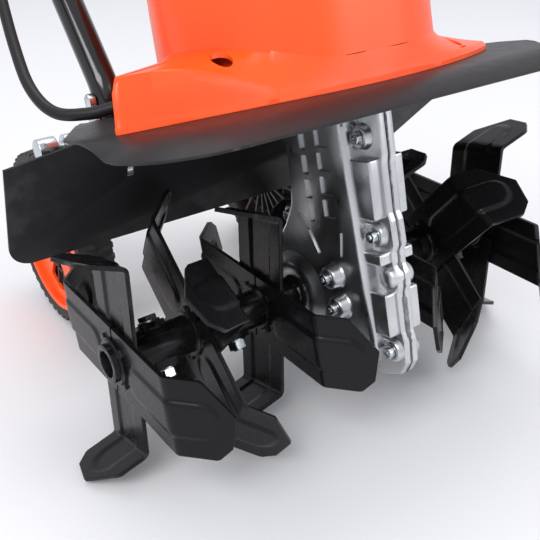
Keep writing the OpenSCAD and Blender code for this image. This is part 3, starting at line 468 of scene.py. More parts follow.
def tube(points, r, sides=28, slot="tube_black"):
    cu = bpy.data.curves.new("path", "CURVE")
    cu.dimensions = "3D"
    sp = cu.splines.new("POLY")
    sp.points.add(len(points) - 1)
    for q, p in zip(sp.points, points):
        q.co = (*p, 1)
    return run_tree(placed("path", cu), TUBE, Radius=r, Sides=sides, Material=M[slot])


def round_axle(bm, count, slot, phase=0.0):
    return run_tree(loose(bm), ROUND, Count=count, Phase=phase, Material=M[slot])


def at_places(item, places, slot):
    """places holds (position, turn) pairs, in the item's own frame."""
    thing = loose(item, "item")
    me = bpy.data.meshes.new("spots")
    me.from_pydata([p for p, _ in places], [], [])
    att = me.attributes.new("turn", "FLOAT_VECTOR", "POINT")
    for k, (_, turn) in enumerate(places):
        att.data[k].vector = turn
    bm = run_tree(placed("spots", me), PLACES, Item=thing, Material=M[slot])
    bpy.data.objects.remove(thing)
    return bm


def merge(*meshes):
    out = bmesh.new()
    for bm in meshes:
        me = to_mesh("part", bm)
        out.from_mesh(me)
        bpy.data.meshes.remove(me)
    return out

# ---------------------------------------------------------------- tine rotors
COLUMNS = [HALF_W * k for k in (-1, -0.955, -0.86, -0.75, -0.66, -0.58, -0.52, -0.47, -0.42, -0.37, -0.30, -0.2, -0.1,
        0.0)]
COLUMNS += [-c for c in COLUMNS[-2::-1]]
SKEW_A = math.atan(SKEW / HALF_W)
FOLD_R = 5.0


def blade_spot(s, y, way, turn):
    """Where a point of the flat blank goes once the tip is folded, and the sheet's normal there."""
    d = (s - BEND_R) * math.cos(SKEW_A) + y * math.sin(SKEW_A)
    e = y * math.cos(SKEW_A) - (s - BEND_R) * math.sin(SKEW_A)
    back = FOLD_R * math.tan(turn / 2)
    a0 = -back
    if d < a0:
        th, u, w = 0.0, d, 0.0
    elif d < a0 + FOLD_R * turn:
        th = (d - a0) / FOLD_R
        u, w = a0 + FOLD_R * math.sin(th), FOLD_R * (1 - math.cos(th))
    else:
        th = turn
        q = d - a0 - FOLD_R * turn + back
        u, w = q * math.cos(turn), q * math.sin(turn)
    line = Vector((0, math.cos(SKEW_A), -math.sin(SKEW_A)))
    up = Vector((0, math.sin(SKEW_A), math.cos(SKEW_A)))
    across = Vector((way, 0, 0))
    p = Vector((0, 0, BEND_R)) + line * e + up * u + across * w
    return p, (across * math.cos(th) - up * math.sin(th)) * way


def pressed(s, y, way):
    """Height of the pressed stiffening panel, a long tongue that runs over the fold."""
    q = min(max(s, 34.0), BEND_R + 20)
    d = math.hypot(s - q, y + 1.0) - 12.5
    return 1.5 * way * (1 - smooth01(-1.1, 1.1, d))


def blade_limits(s):
    t = s - BEND_R
    left = -HALF_W + 10 * max(0.0, (t - 0.80 * TIP_L) / (0.20 * TIP_L))
    right = HALF_W - (HALF_W - 5) * max(0.0, (t - 0.40 * TIP_L) / (0.60 * TIP_L))
    return left, right


def blade_strip(bm, way, turn, shift, quarter):
    """Two opposite blades from one strip; the bore for the hub tube is left out."""
    end = BEND_R + TIP_L
    half = [0.0]
    while half[-1] < end - 0.8:
        s = half[-1]
        half.append(s + (1.4 if BEND_R - 14 < s < BEND_R + 10 or s > end - 4 else 2.4))
    half[-1] = end
    rows = [-s for s in half[:0:-1]] + half
    grid = []
    for s in rows:
        left, right = blade_limits(abs(s))
        row = []
        for c in COLUMNS:
            k = (c + HALF_W) / (2 * HALF_W)
            y = left + (right - left) * k
            p, n = blade_spot(abs(s), y, way, turn)
            lift = pressed(abs(s), y, -way)
            pair = [p + n * (lift + side * BLADE_T / 2) for side in (1, -1)]
            if s < 0:
                pair = [Vector((q.x, -q.y, -q.z)) for q in pair]
            row.append([Matrix.Rotation(quarter, 3, "X") @ (q + Vector((shift, 0, 0))) for q in pair])
        grid.append(row)
    verts = [[[bm.verts.new(q) for q in pair] for pair in row] for row in grid]
    kept = {}
    for i in range(len(rows) - 1):
        for j in range(len(COLUMNS) - 1):
            corners = [grid[i][j][0], grid[i + 1][j][0], grid[i][j + 1][0], grid[i + 1][j + 1][0]]
            if min(math.hypot(q.y, q.z) for q in corners) > 15.4:
                kept[i, j] = True
    for i, j in kept:
        for side in (0, 1):
            bm.faces.new([verts[a][b][side] for a, b in ((i, j), (i, j + 1), (i + 1, j + 1), (i + 1, j))])
        for di, dj, ends in ((-1, 0, ((i, j), (i, j + 1))), (1, 0, ((i + 1, j), (i + 1, j + 1))),
                (0, -1, ((i, j), (i + 1, j))), (0, 1, ((i, j + 1), (i + 1, j + 1)))):
            if (i + di, j + dj) not in kept:
                (a, b), (c, d) = ends
                bm.faces.new((verts[a][b][0], verts[a][b][1], verts[c][d][1], verts[c][d][0]))
    return break_edges(outward(bm), 0.55, 2, 60, lambda e: min(math.hypot(v.co.y, v.co.z) for v in e.verts) > 22)


def rotor_mesh():
    a = blade_strip(bmesh.new(), -1, rad(50), BLADE_T / 2, rad(90))
    b = blade_strip(bmesh.new(), 1, rad(68), -BLADE_T / 2, 0.0)
    collar = turned([(-6.2, 15.05), (-6.2, 17.6), (-5.0, 18.8), (5.0, 18.8), (6.2, 17.6), (6.2, 15.05)], closed=True)
    lug = slab(box_outline(15.6, -3.2, 22.5, 3.2, 1.2), -4.9, 4.9, "X")
    stakes = round_axle(break_edges(outward(lug), 0.5, 2, -1), 4, "tine_steel", rad(45))
    return merge(a, b, collar, stakes)


rotor = rotor_mesh()
for place, (x, turn) in ROTORS.items():
    for side in ("left", "right"):
        at = Matrix.Translation((x, 0, 0)) @ Matrix.Rotation(rad(turn), 4, "X")
        at = SHAFT @ (MIRROR @ at if side == "left" else at)
        as_piece(f"Tines_{place}_{side}", rotor.copy(), at, "tine_assembly", "tine_steel", f"tines_{place}_{side}")
rotor.free()

for place in ("outer", "inner"):
    for side in ("left", "right"):
        eased(f"hub_{place}_{side}", 0.9, "tine_steel", "tine_assembly")


def hex_head(r, h, chamfer=0.5, bore=0.0):
    """A hexagon with turned corners, standing on Z = 0; r is half the width across corners."""
    bm = slab([(r * math.cos(rad(60 * k)), r * math.sin(rad(60 * k))) for k in range(6)], 0, h, "Z")
    cone = turned([(-0.1, r * 0.9), (chamfer, r + 0.02), (h - chamfer, r + 0.02), (h + 0.1, r * 0.9)], "Z", segs=48)
    bm = cut(bm, cone, "INTERSECT")
    if bore:
        bm = cut(bm, turned([(-1, bore), (h + 1, bore)], "Z", segs=32))
    return bm


def threaded(bm, r, a, b, pitch=1.25):
    """A rolled thread drawn as close grooves."""
    profile, z = [(a, 0), (a, r - 0.5)], a + 0.5
    while z < b - pitch:
        profile += [(z, r), (z + pitch * 0.4, r), (z + pitch * 0.65, r - 0.55)]
        z += pitch
    return lathe(bm, profile + [(b, r - 0.1), (b, 0)], "Z", segs=28)


bolt = hex_head(7.5, 5.4)
bolt.transform(Matrix.Translation((0, 0, 18.1)))
shank = threaded(bmesh.new(), 4, -27, -14)
lathe(shank, [(-15, 0), (-15, 3.97), (18.5, 3.97), (18.5, 0)], "Z", segs=28)
washer = turned([(18.02, 0.5), (18.02, 8.6), (18.3, 8.9), (19.3, 8.9), (19.6, 8.6), (19.6, 0.5)], "Z", segs=36,
        closed=True)
spots = [((x * s, 0, 0), (rad(-35), 0, 0)) for x in (154.5, 91.5) for s in (-1, 1)]
as_piece("Hub_bolts", at_places(merge(bolt, shank, washer), spots, "zinc"), SHAFT, "tine_assembly", "zinc", "hub_bolts",
        turn_out=False)
nut = hex_head(7.5, 6.4, bore=4.02)
nut.transform(Matrix.Translation((0, 0, -25.6)))
lathe(nut, [(-19.3, 4.1), (-19.3, 8.2), (-19.0, 8.4), (-18.1, 8.4), (-18.1, 4.1)], "Z", segs=36, closed=True)
as_piece("Hub_nuts", at_places(outward(nut), spots, "zinc"), SHAFT, "tine_assembly", "zinc", "hub_nuts", turn_out=False)

# ---------------------------------------------------------------- gearbox
CASE_HW = 20.0
SIDE = [(-6, 164), (-8, 100), (-4, 76), (8, 58), (40, 24), (47, 0), (40, -26), (22, -42), (0, -47), (-40, -50),
        (-66, -50), (-84, -44), (-90, -30), (-86, 40), (-83, 100), (-82, 164)]
FLANGE_FRONT = [(-60, 164), (-107, 164), (-107.3, 118), (-106, 112), (-106, 76), (-108, 70), (-109, 52), (-106, 46),
        (-106, 36), (-109, 30), (-109, 20), (-107, 14), (-107, -16), (-109, -24), (-108, -42), (-101, -52), (-84, -57),
        (-40, -57), (-40, 0)]
FLANGE_REAR = [(-2, 164), (-3, 100), (1, 78), (12, 62), (44, 27), (51, 0), (43, -30), (24, -46), (0, -51.5), (-40, -54),
        (-60, -54), (-60, 164)]
CASE_SCREWS = [(-89, 131), (-94, 59), (-98, -32), (-4, 128), (12, 62), (44, 22), (40, -34), (-4, -50)]
SIDE_SCREWS = [(-54, 24), (-58, 0)]


def case_half():
    body = slab(rounded(SIDE, 9, 4), 0.4, CASE_HW)
    break_edges(outward(body), 5.0, 4, -1, lambda e: all(abs(v.co.x - CASE_HW) < 1e-4 for v in e.verts))
    # two columns of shallow pockets in the side face
    pockets = bmesh.new()
    for i in range(4):
        for y0, y1, z0, h, x in ((-37, -29, 64 + 19 * i, 15, 17.6), (-64, -49, 70 + 18 * i, 14, 18.2)):
            p = slab(box_outline(y0, z0, y1, z0 + h, 1.6), x, 26)
            pockets = merge(pockets, p)
    body = cut(body, pockets)
    flange = slab(rounded(FLANGE_FRONT, 3, 3), 0.4, 6.5)
    inner = slab(rounded(FLANGE_REAR, 8, 4), 0.4, 6.5)
    parts = [body] + [break_edges(outward(p), 1.1, 2, 60) for p in (flange, inner)]
    # lugs that carry the case screws, blended into the wall
    for k, (y, z) in enumerate(CASE_SCREWS):
        deep = 11.2 if k < 3 else 9.5
        parts.append(turned([(0.4, 10.0), (6.3, 10.0), (7.6, 9.2), (deep - 1.2, 8.8), (deep, 7.6), (deep, 5.2),
                (deep - 4.6, 5.2), (deep - 4.6, 0)], "X", (y, z), segs=32))
        if k < 3:
            web = slab(box_outline(y - 2, z - 8.4, y + 22, z + 8.4, 3), 2.0, deep - 1.4)
            parts.append(break_edges(outward(web), 1.6, 3, 60))
    # raised blocks down the front between the lugs
    for z0, z1, y0 in ((72, 116, -103), (38, 47, -104), (-18, 16, -105), (146, 160, -101)):
        block = slab(box_outline(y0, z0, -80, z1, 2), 1.0, 16.0)
        parts.append(break_edges(outward(block), 2.2, 3, 60))
    # lug of the middle dowel
    parts.append(turned([(0.4, 8.5), (9.0, 8.2), (11, 6.5), (11, 0)], "X", (-101, 27), segs=28))
    # boss round the tine shaft, swelling out of the side wall
    parts.append(turned([(2, 46.0), (12, 45.0), (15.5, 42.5), (18.5, 38), (20.6, 34), (22.6, 30.5), (24.4, 28),
            (25.6, 26.4), (26.2, 24.8), (26.2, 19.0), (25.2, 17.6), (25.2, 15.6), (2, 15.6)], "X", segs=72,
            closed=True))
    # side bosses of the bearing cover screws
    for y, z in SIDE_SCREWS:
        parts.append(turned([(12, 13.5), (18.4, 12.6), (20.2, 10.8), (21.6, 9.6), (27.6, 9.0), (29.0, 7.8), (29.0, 5.3),
                (24.5, 5.3), (24.5, 0)], "X", (y, z), segs=32))
    # plate under the deck, with its ribs
    top = slab(box_outline(-92, 157, 2, 165.6, 1.5), 0.5, 40)
    for y in (-84, -58, -32, -10):
        extrude(top, [(y, 140), (y + 5, 140), (y + 5, 158), (y, 158)], 6, 19)
        rib = slab([(18, 142), (20.5, 142), (39, 157.5), (39, 158), (18, 158)], y, y + 4.5, "Y")
        top = merge(top, rib)
    parts.append(break_edges(outward(top), 0.9, 2, 50))
    # casting ribs on the side wall below the pockets
    for y, z, l, a in ((-30, 48, 22, 62), (-64, 50, 20, 100), (-70, -24, 26, 20)):
        rib = slab(box_outline(-l / 2, -1.4, l / 2, 1.4, 1.2), 19.0, 21.2)
        rib.transform(Matrix.Translation((0, y, z)) @ Matrix.Rotation(rad(a), 4, "X"))
        parts.append(rib)
    return merge(*parts)


half = case_half()
as_piece("Gearbox_right", half.copy(), LEAN, "base", "cast_alu", "gearbox_right", smooth=50)
as_piece("Gearbox_left", half, LEAN @ MIRROR, "base", "cast_alu", "gearbox_left", smooth=50)


def squeezed_bead():
    """Sealant pressed out along the front of the joint, uneven along its length."""
    path = rounded(FLANGE_FRONT[1:-2], 3, 3)
    fine = []
    for a, b in zip(path, path[1:]):
        n = max(1, int(math.dist(a, b) / 1.2))
        fine += [(a[0] + (b[0] - a[0]) * k / n, a[1] + (b[1] - a[1]) * k / n) for k in range(n)]
    bm, rows = bmesh.new(), []
    for k, (y, z) in enumerate(fine):
        rough = noise.noise(Vector((0, y * 0.23, z * 0.23)))
        coarse = noise.noise(Vector((3, y * 0.05, z * 0.05)))
        r = 0.9 + 0.55 * rough + (1.1 + 1.5 * abs(rough) if -20 < z < 42 and coarse > -0.2 else 0)
        r = max(0.5, min(r, 2.4))
        x = 0.5 * noise.noise(Vector((7, y * 0.4, z * 0.4)))
        rows.append([(x + r * 0.75 * math.cos(math.pi * j / 4), y + 0.8 * r * math.sin(math.pi * j / 4),
                z) for j in range(8)])
    grid = skin(bm, rows, around=True)
    bm.faces.new(grid[0])
    bm.faces.new(grid[-1])
    plate = slab(rounded([(y + (0.6 if y < -80 else -0.6), z) for y, z in FLANGE_FRONT], 3, 3), -0.38, 0.38)
    plate = cut(plate, turned([(-3, 0), (-3, 43.5), (3, 43.5), (3, 0)], segs=96))
    for y0, z0, y1, z1 in ((-64.5, -30.5, -35.5, 100.5), (-40, -30.5, -10, 17.5), (-66.1, 90, -33.9, 180),
            (-64.1, -41.2, -35.9, -11.2)):
        plate = cut(plate, slab(box_outline(y0, z0, y1, z1), -3, 3))
    return merge(bm, plate)


as_piece("Gearbox_sealant", squeezed_bead(), LEAN, "base", "sealant", "gearbox_gasket", smooth=60)


def cap_screw(r, rh, hh, length):
    """A socket head screw along +X: head from 0 to hh, shank behind it, with a knurled head and a hexagon socket."""
    head = turned([(0, 0), (0, rh - 0.3), (0.3, rh), (hh - 0.5, rh), (hh, rh - 0.6), (hh, 0)], "X", segs=36)
    for v in head.verts:
        rr = math.hypot(v.co.y, v.co.z)
        if rr > rh - 0.01 and v.index % 2 == 0:
            v.co.y *= (rh - 0.22) / rr
            v.co.z *= (rh - 0.22) / rr
    hexa = slab([(0.52 * rh * math.cos(rad(60 * k)), 0.52 * rh * math.sin(rad(60 * k))) for k in range(6)], hh - 2.8,
            hh + 1)
    head = cut(head, hexa)
    stem = turned([(-length, 0), (-length, r), (0.1, r), (0.1, 0)], "X", segs=20)
    return merge(head, stem)


spots = [((-11.2 if k < 3 else -9.5, y, z), (0, 0, math.pi)) for k, (y, z) in enumerate(CASE_SCREWS)]
screws = at_places(cap_screw(2.5, 4.7, 4.6, 8), spots, "zinc")
spots = [((s * 28.8, y, z), (0, 0, math.pi if s < 0 else 0)) for y, z in SIDE_SCREWS for s in (-1, 1)]
side = at_places(cap_screw(2.5, 4.7, 4.6, 6), spots, "zinc")
as_piece("Gearbox_screws", merge(screws, side), LEAN, "base", "zinc", "gearbox_screws", smooth=30)
eased("shaft_seals", 0.5, "rubber", "base")
eased("tine_shaft", 0.6, "steel", "tine_assembly")

# ---------------------------------------------------------------- motor dome and base cover
DOME_Y, DOME_DX = -14.0, 13.0


def stadium(r, n=128):
    """Two half circles joined by straights, starting at +X; n points, counted from the middle of the dome."""
    pts = []
    for k in range(n):
        a = 2 * math.pi * k / n
        c, s = math.cos(a), math.sin(a)
        pts.append(((DOME_DX if c > 1e-9 else -DOME_DX if c < -1e-9 else 0) + r * c, DOME_Y + r * s))
    return pts


def smooth_profile(points, n=6):
    out = []
    for i in range(len(points) - 1):
        p0, p1 = Vector(points[max(i - 1, 0)]), Vector(points[i])
        p2, p3 = Vector(points[i + 1]), Vector(points[min(i + 2, len(points) - 1)])
        for k in range(n):
            t = k / n
            out.append(tuple(0.5 * ((2 * p1) + (p2 - p0) * t + (2 * p0 - 5 * p1 + 4 * p2 - p3) * t * t
                    + (-p0 + 3 * p1 - 3 * p2 + p3) * t ** 3)))
    return out + [tuple(points[-1])]


def dome_mesh():
    prof = smooth_profile([(94.0, 190), (93.6, 205), (93.0, 236), (91.6, 268), (89.4, 296), (86.0, 318), (80.0, 333),
            (72.0, 343), (62.0, 349), (46.0, 351.6), (24.0, 352.0)], 5)
    bm = bmesh.new()
    grid = skin(bm, [[(x, y, z) for x, y in stadium(r)] for r, z in prof], around=True)
    bm.faces.new(grid[-1])
    bmesh.ops.recalc_face_normals(bm, faces=bm.faces)
    if max(bm.faces, key=lambda f: f.calc_center_median().z).normal.z < 0:
        bmesh.ops.reverse_faces(bm, faces=bm.faces)
    bm = thicken(bm, 3.0)
    holes = slab(box_outline(-60, DOME_Y - 52, 60, DOME_Y + 52, 10), 325, 370, "Z")
    for m in (-1, 1):
        for i in range(6):
            y = DOME_Y - 32 + 11 * i
            z0 = 256 + 3 * abs(i - 2.5)
            slot = slab(box_outline(y, z0, y + 5, 298, 2.2), *sorted((m * 70, m * 125)))
            holes = merge(holes, slot)
    return cut(bm, holes)


as_piece("Motor_dome", dome_mesh(), LEAN, "base", "orange", "motor_dome", smooth=50)

cap = slab(box_outline(-59.6, DOME_Y - 51.6, 59.6, DOME_Y + 51.6, 10), 342, 346, "Z")
lid = slab(box_outline(-54, DOME_Y - 46, 54, DOME_Y + 46, 12, 6), 343, 358, "Z")
lid = cut(lid, slab(box_outline(-51, DOME_Y - 43, 51, DOME_Y + 43, 10, 6), 335, 355, "Z"))
gaps = bmesh.new()
for i in range(-4, 5):
    gaps = merge(gaps, slab(box_outline(i * 11 - 2.5, DOME_Y - 38, i * 11 + 2.5, DOME_Y + 38, 2.2), 346, 366, "Z"))
cap = cut(cap, slab(box_outline(-51, DOME_Y - 43, 51, DOME_Y + 43, 10, 6), 335, 350, "Z"))
as_piece("Vent_cap", merge(cap, cut(lid, gaps)), LEAN, "base", "black_plastic", "vent_cap", bevel=(0.7, 2, 50))


def base_outline():
    """The cover's foot: a bowed front, the cable housing at the left, sides drawn in to the rear."""
    yc, r = 176.0, 285.0
    front = arc((0, yc), r, 270 - math.degrees(math.asin(70 / r)), 270 + math.degrees(math.asin(150 / r)), 36)
    right = [(158, -60), (158, -50), (118, -5), (109, -5), (109, 74), (96, 88)]
    left = [(-96, 88), (-109, 74), (-109, -5), (-122, -5), (-186, -76)]
    pts = front + right + left
    return rounded(pts, [0] * len(front) + [8, 10, 8, 4, 10, 8] + [8, 10, 4, 6, 3], 6)


def resample(loop, n):
    loop = loop + [loop[0]]
    runs = [math.dist(a, b) for a, b in zip(loop, loop[1:])]
    total, out, i, used = sum(runs), [], 0, 0.0
    for k in range(n):
        want = total * k / n
        while used + runs[i] < want:
            used += runs[i]
            i += 1
        t = (want - used) / max(runs[i], 1e-9)
        out.append((loop[i][0] + (loop[i + 1][0] - loop[i][0]) * t, loop[i][1] + (loop[i + 1][1] - loop[i][1]) * t))
    return out


def stadium_hit(px, py, r):
    """Where the ray from the dome's middle through a point meets the dome's foot."""
    dx, dy = px, py - DOME_Y
    lo, hi = 0.0, 3.0
    for _ in range(40):
        t = (lo + hi) / 2
        x, y = dx * t, dy * t
        far = math.hypot(max(abs(x) - DOME_DX, 0), y)
        lo, hi = (t, hi) if far < r else (lo, t)
    return dx * lo, DOME_Y + dy * lo


def base_mesh():
    outer = resample(base_outline(), 360)
    foot, top = 168.2, 189.9
    rows = [[(x, y, foot) for x, y in outer], [(x, y, foot + 3.2) for x, y in outer]]
    steps = [0.0, 0.008, 0.02, 0.04, 0.07, 0.11, 0.16, 0.22, 0.29, 0.36, 0.43, 0.5, 0.57, 0.64, 0.71, 0.78, 0.84, 0.89,
            0.93, 0.965, 1.0]
    for s in steps[1:]:
        row = []
        for ox, oy in outer:
            ix, iy = stadium_hit(ox, oy, 93.9)
            x, y = ox + (ix - ox) * s, oy + (iy - oy) * s
            whole = math.dist((ox, oy), (ix, iy))
            inset, dist = whole * s, whole * (1 - s)
            # height at the rim: low all round, but an arch along the cable housing's front
            u = (-72 - ox) / 114
            arch = 33 * math.sin(math.pi / 2 * min(1.0, max(0.0, u) / 0.82)) - 6 * smooth01(0.93, 1.0, u)
            rim = max(6.0, arch if oy < -4 else 0.0)
            crest = top - foot + 16.5 * smooth01(40, 104, -x) * (1 - smooth01(-14, 30, y))
            h = 3.2 + (rim - 3.2) * smooth01(0, 2.4 + 0.08 * rim, inset) + (crest - rim) * s ** 1.25
            h += 2.0 * max(0.0, 1 - dist / 7.0) ** 2 * (rim < 7)
            row.append((x, y, foot + min(h, 39.0)))
        rows.append(row)
    bm = bmesh.new()
    skin(bm, rows, around=True)
    bm = thicken(upward_faces(bm), 2.6)
    wells = bmesh.new()
    for x, y in COVER_SCREWS:
        wells = merge(wells, turned([(160, 0), (160, 2.8), (174.2, 2.8), (174.2, 6.0), (188, 7.4), (215, 7.4),
                (215, 0)], "Z", (x, y), 32))
    mouth = turned([(-9, 0), (-9, 5.6), (12, 5.6), (12, 0)], "Z", segs=28)
    mouth.transform(Matrix.Translation(GLAND) @ Vector((-0.743, 0.669, 0)).to_track_quat("Z", "Y").to_matrix().to_4x4())
    wells = merge(wells, mouth)
    seats = bmesh.new()
    for (x, y), rise in zip(COVER_SCREWS, (184.0, 177.0, 177.0, 177.0)):
        seats = merge(seats, turned([(168.3, 2.8), (168.3, 8.4), (174.4, 8.4), (174.4, 2.8)], "Z", (x, y), 32,
                closed=True))
        seats = merge(seats, turned([(174, 6.1), (174, 8.0), (rise, 9.2), (rise, 7.2)], "Z", (x, y), 32, closed=True))
    return merge(cut(bm, wells), seats)


COVER_SCREWS = [(-104, -76), (104, -76), (-96, 70), (96, 70)]
GLAND = (-163, -51, 182)
as_piece("Base_cover", base_mesh(), LEAN, "base", "orange", "base_cover", smooth=50)
eased("cover_screws", 0.3, "zinc", "base")

# ---------------------------------------------------------------- guard
def deck_mesh():
    """Sheet deck with a rolled-down front edge that runs round both front corners."""
    hw, r, front = 203.0, 56.0, -156.0
    cx, cy, back = hw - r, front + r, 32.0
    xs = [cx * k / 14 for k in range(15)] + [cx + r * math.sin(rad(a)) for a in range(6, 91, 6)]
    xs = [-x for x in xs[:0:-1]] + xs
    down = [0, 0.6, 1.6, 3, 5, 8, 12, 16, 21, 26, 31, 36, 48, 64, 84]
    rows = []
    for x in xs:
        ax = abs(x)
        y0 = front if ax <= cx else cy - math.sqrt(max(0.0, r * r - (ax - cx) ** 2))
        y1 = back - max(0.0, ax - hw + 36) * 68 / 36
        if ax < 114:
            y1 = 92.0
        row = []
        reach = min(1.0, (y1 - y0) / 110)
        far = down[-1] * reach
        for k in range(len(down) + 6):
            y = y0 + down[k] * reach if k < len(down) else y0 + far + (y1 - y0 - far) * (k - len(down) + 1) / 6
            if ax > cx and y < cy:
                edge = r - math.hypot(ax - cx, y - cy)
            elif ax > cx:
                edge = min(hw - ax + 60 * smooth01(cy, cy + 70, y), y - front)
            else:
                edge = y - front
            t = 1 - min(1.0, max(0.0, edge) / 34.0)
            row.append((x, y, DECK_Z - 10.2 * t ** 2.2))
        rows.append(row)
    bm = bmesh.new()
    skin(bm, rows)
    bmesh.ops.remove_doubles(bm, verts=bm.verts, dist=0.01)
    bm = thicken(upward_faces(bm), 2.0)
    holes = turned([(140, 0), (140, 21), (190, 21), (190, 0)], "Z", (0, WORM_Y), 48)
    return cut(bm, holes)


as_piece("Guard_deck", deck_mesh(), LEAN, "base", "sheet_black", "guard_deck", smooth=40, bevel=(0.45, 2, 60))
eased("rear_apron", 0.5, "sheet_black", "base")
eased("frame_bolts", 0.4, "zinc", "base")

# ---------------------------------------------------------------- chassis
for node, w, slot, body in (("chassis_bracket", 0.6, "tube_black", "base"), ("wheel_bracket", 0.6, "tube_black",
        "wheel_frame"), ("bracket_pivot", 0.5, "zinc", "base"), ("lock_plunger", 0.8, "zinc", "plunger"),
        ("plunger_sleeve", 0.5, "zinc", "base"), ("wheel_axle", 0.6, "zinc", "wheel_frame"),
        ("axle_nuts", 0.5, "zinc", "wheel_frame")):
    eased(node, w, slot, body)

RIM_R = TYRE_R - 13


def wheel_mesh():
    x1, x0 = WHEEL_X - 2, WHEEL_X - TYRE_W + 2
    rim = turned([(x1 - 13, RIM_R), (x1 - 13, RIM_R - 5), (x1 - 7, RIM_R - 5), (x1 - 1.2, RIM_R - 5), (x1, RIM_R - 3.5),
            (x1, RIM_R - 1), (x1 - 1, RIM_R)], segs=96, closed=True)
    barrel = turned([(x0, RIM_R), (x0, RIM_R - 4), (x0 + 5, RIM_R - 5), (x1 - 13.2, RIM_R - 5), (x1 - 13.2, RIM_R)],
            segs=96, closed=True)
    disc = turned([(x1 - 12, 13.2), (x1 - 12, RIM_R - 4.6), (x1 - 6.5, RIM_R - 4.6), (x1 - 6.5, RIM_R - 8),
            (x1 - 8.5, RIM_R - 14), (x1 - 9, 34), (x1 - 7.5, 24), (x1 - 3, 20), (x1 - 2, 17), (x1 - 3, 13.2)], segs=96,
            closed=True)
    windows = round_axle(slab(rounded([(26, -8), (26, 8), (56, 22), (62, 0), (56, -22)], 5), 100, 160), 5, "orange",
            0.0)
    disc = cut(disc, windows)
    hub = turned([(x0 - 1.4, 6.1), (x0 - 1.4, 15), (x0 - 0.4, 16), (x1 - 11, 16.6), (x1 - 9, 13.4), (x1 - 9, 6.1)],
            segs=48, closed=True)
    rib = slab([(-1.3, 15), (1.3, 15), (1.6, RIM_R - 3.4), (-1.6, RIM_R - 3.4)], x0 + 4, x1 - 10.5)
    ribs = round_axle(rib, 20, "orange", rad(9))
    rings = turned([(x0 + 7, 38.8), (x0 + 7, 41.2), (x1 - 10.5, 41.4), (x1 - 10.5, 38.6)], segs=72, closed=True)
    return merge(rim, disc), merge(barrel, hub, ribs, rings)


def tyre_mesh():
    a, b = WHEEL_X - TYRE_W + 0.5, WHEEL_X - 0.5
    carcass = turned([(a + 1.5, RIM_R + 0.05), (b - 1.5, RIM_R + 0.05), (b - 0.2, RIM_R + 2.6), (b, TYRE_R - 8),
            (b - 1.2, TYRE_R - 5), (b - 4, TYRE_R - 3.1), (b - 10, TYRE_R - 2.4), (a + 10, TYRE_R - 2.4),
            (a + 4, TYRE_R - 3.1), (a + 1.2, TYRE_R - 5), (a, TYRE_R - 8), (a + 0.2, RIM_R + 2.6)], segs=120,
            closed=True)
    lugs = []
    for s in (-1, 1):
        mid = (a + b) / 2
        o = sorted((mid + s * 1.5, mid + s * (TYRE_W / 2 - 1.6)))
        lug = bmesh.new()
        foot, crown = 2.7, 2.3
        pts = []
        for x in o:
            drop = 2.2 * smooth01(TYRE_W / 2 - 7, TYRE_W / 2 - 1.6, abs(x - mid))
            sweep = s * 4.0 * (abs(x - mid) / (TYRE_W / 2))
            low, high, mid_y = TYRE_R - 4.2 - drop, TYRE_R - 0.15 - drop, sweep * s
            pts.append([(x, mid_y - foot, low), (x, mid_y + foot, low), (x, mid_y + crown, high),
                    (x, mid_y - crown, high)])
        grid = skin(lug, pts, around=True)
        lug.faces.new(grid[0])
        lug.faces.new(grid[-1])
        lugs.append(round_axle(outward(lug), 48, "tyre", rad(0 if s > 0 else 3.75)))
    return merge(carcass, *lugs)


for side, at in (("left", MIRROR), ("right", Matrix.Identity(4))):
    place = LEAN @ at @ Matrix.Translation((0, *AXLE))
    outer, inner = wheel_mesh()
    as_piece(f"Wheel_{side}", outer, place, f"{side}_wheel", "orange", f"wheel_{side}", bevel=(0.4, 2, 50))
    as_piece(f"Wheel_hub_{side}", inner, place, f"{side}_wheel", "black_plastic", f"wheel_{side}", bevel=(0.4, 2, 50))
    as_piece(f"Tyre_{side}", tyre_mesh(), place, f"{side}_wheel", "tyre", f"tyre_{side}", smooth=32)

# ---------------------------------------------------------------- handle
def bent(points, r, n=8):
    """A path of (X, Y, Z) points with each inner corner turned on a radius."""
    out = [Vector(points[0])]
    for a, p, b in zip(points, points[1:], points[2:]):
        a, p, b = Vector(a), Vector(p), Vector(b)
        half = (a - p).angle(b - p) / 2
        d = min(r / math.tan(half), (a - p).length * 0.45, (b - p).length * 0.45)
        s, e = p + (a - p).normalized() * d, p + (b - p).normalized() * d
        out += [(1 - t) ** 2 * s + 2 * t * (1 - t) * p + t * t * e for t in (k / n for k in range(n + 1))]
    return out + [Vector(points[-1])]


def yz(x, p):
    return (x, p[0], p[1])


low_end = FOLD + 26 * RUN
up_start = FOLD - 26 * RUN
tubes = bmesh.new()
for s in (-1, 1):
    tubes = merge(tubes, tube(bent([yz(s * LOW_X, FOOT), yz(s * LOW_X, KNEE), yz(s * LOW_X, low_end + 8 * RUN)], 40),
            TUBE_R))
q = KNEE + 300 * RUN
tubes = merge(tubes, tube([yz(-LOW_X, q), yz(LOW_X, q)], 8.0))
as_piece("Lower_handle", tubes, LEAN, "base", "tube_black", "lower_handle", bevel=(1.2, 3, 60))
loop = bent([yz(-UP_X, up_start - 8 * RUN), yz(-UP_X, BEND), yz(-UP_X, BAR), yz(UP_X, BAR), yz(UP_X, BEND),
        yz(UP_X, up_start - 8 * RUN)], 26)
as_piece("Upper_handle", tube(loop, TUBE_R), LEAN, "top_handle", "tube_black", "upper_handle", bevel=(1.2, 3, 60))
eased("fold_bolts", 0.5, "zinc", "top_handle")
for side in ("left", "right"):
    eased(f"cam_lever_{side}", 1.4, "orange", f"{side}_cam", steps=3)
eased("switch_box", 3.5, "black_plastic", "top_handle", steps=4, angle=60)
eased("lock_button", 0.8, "orange", "lock_off_button", angle=60)
eased("inlet_plug", 0.9, "black_plastic", "top_handle", angle=60)
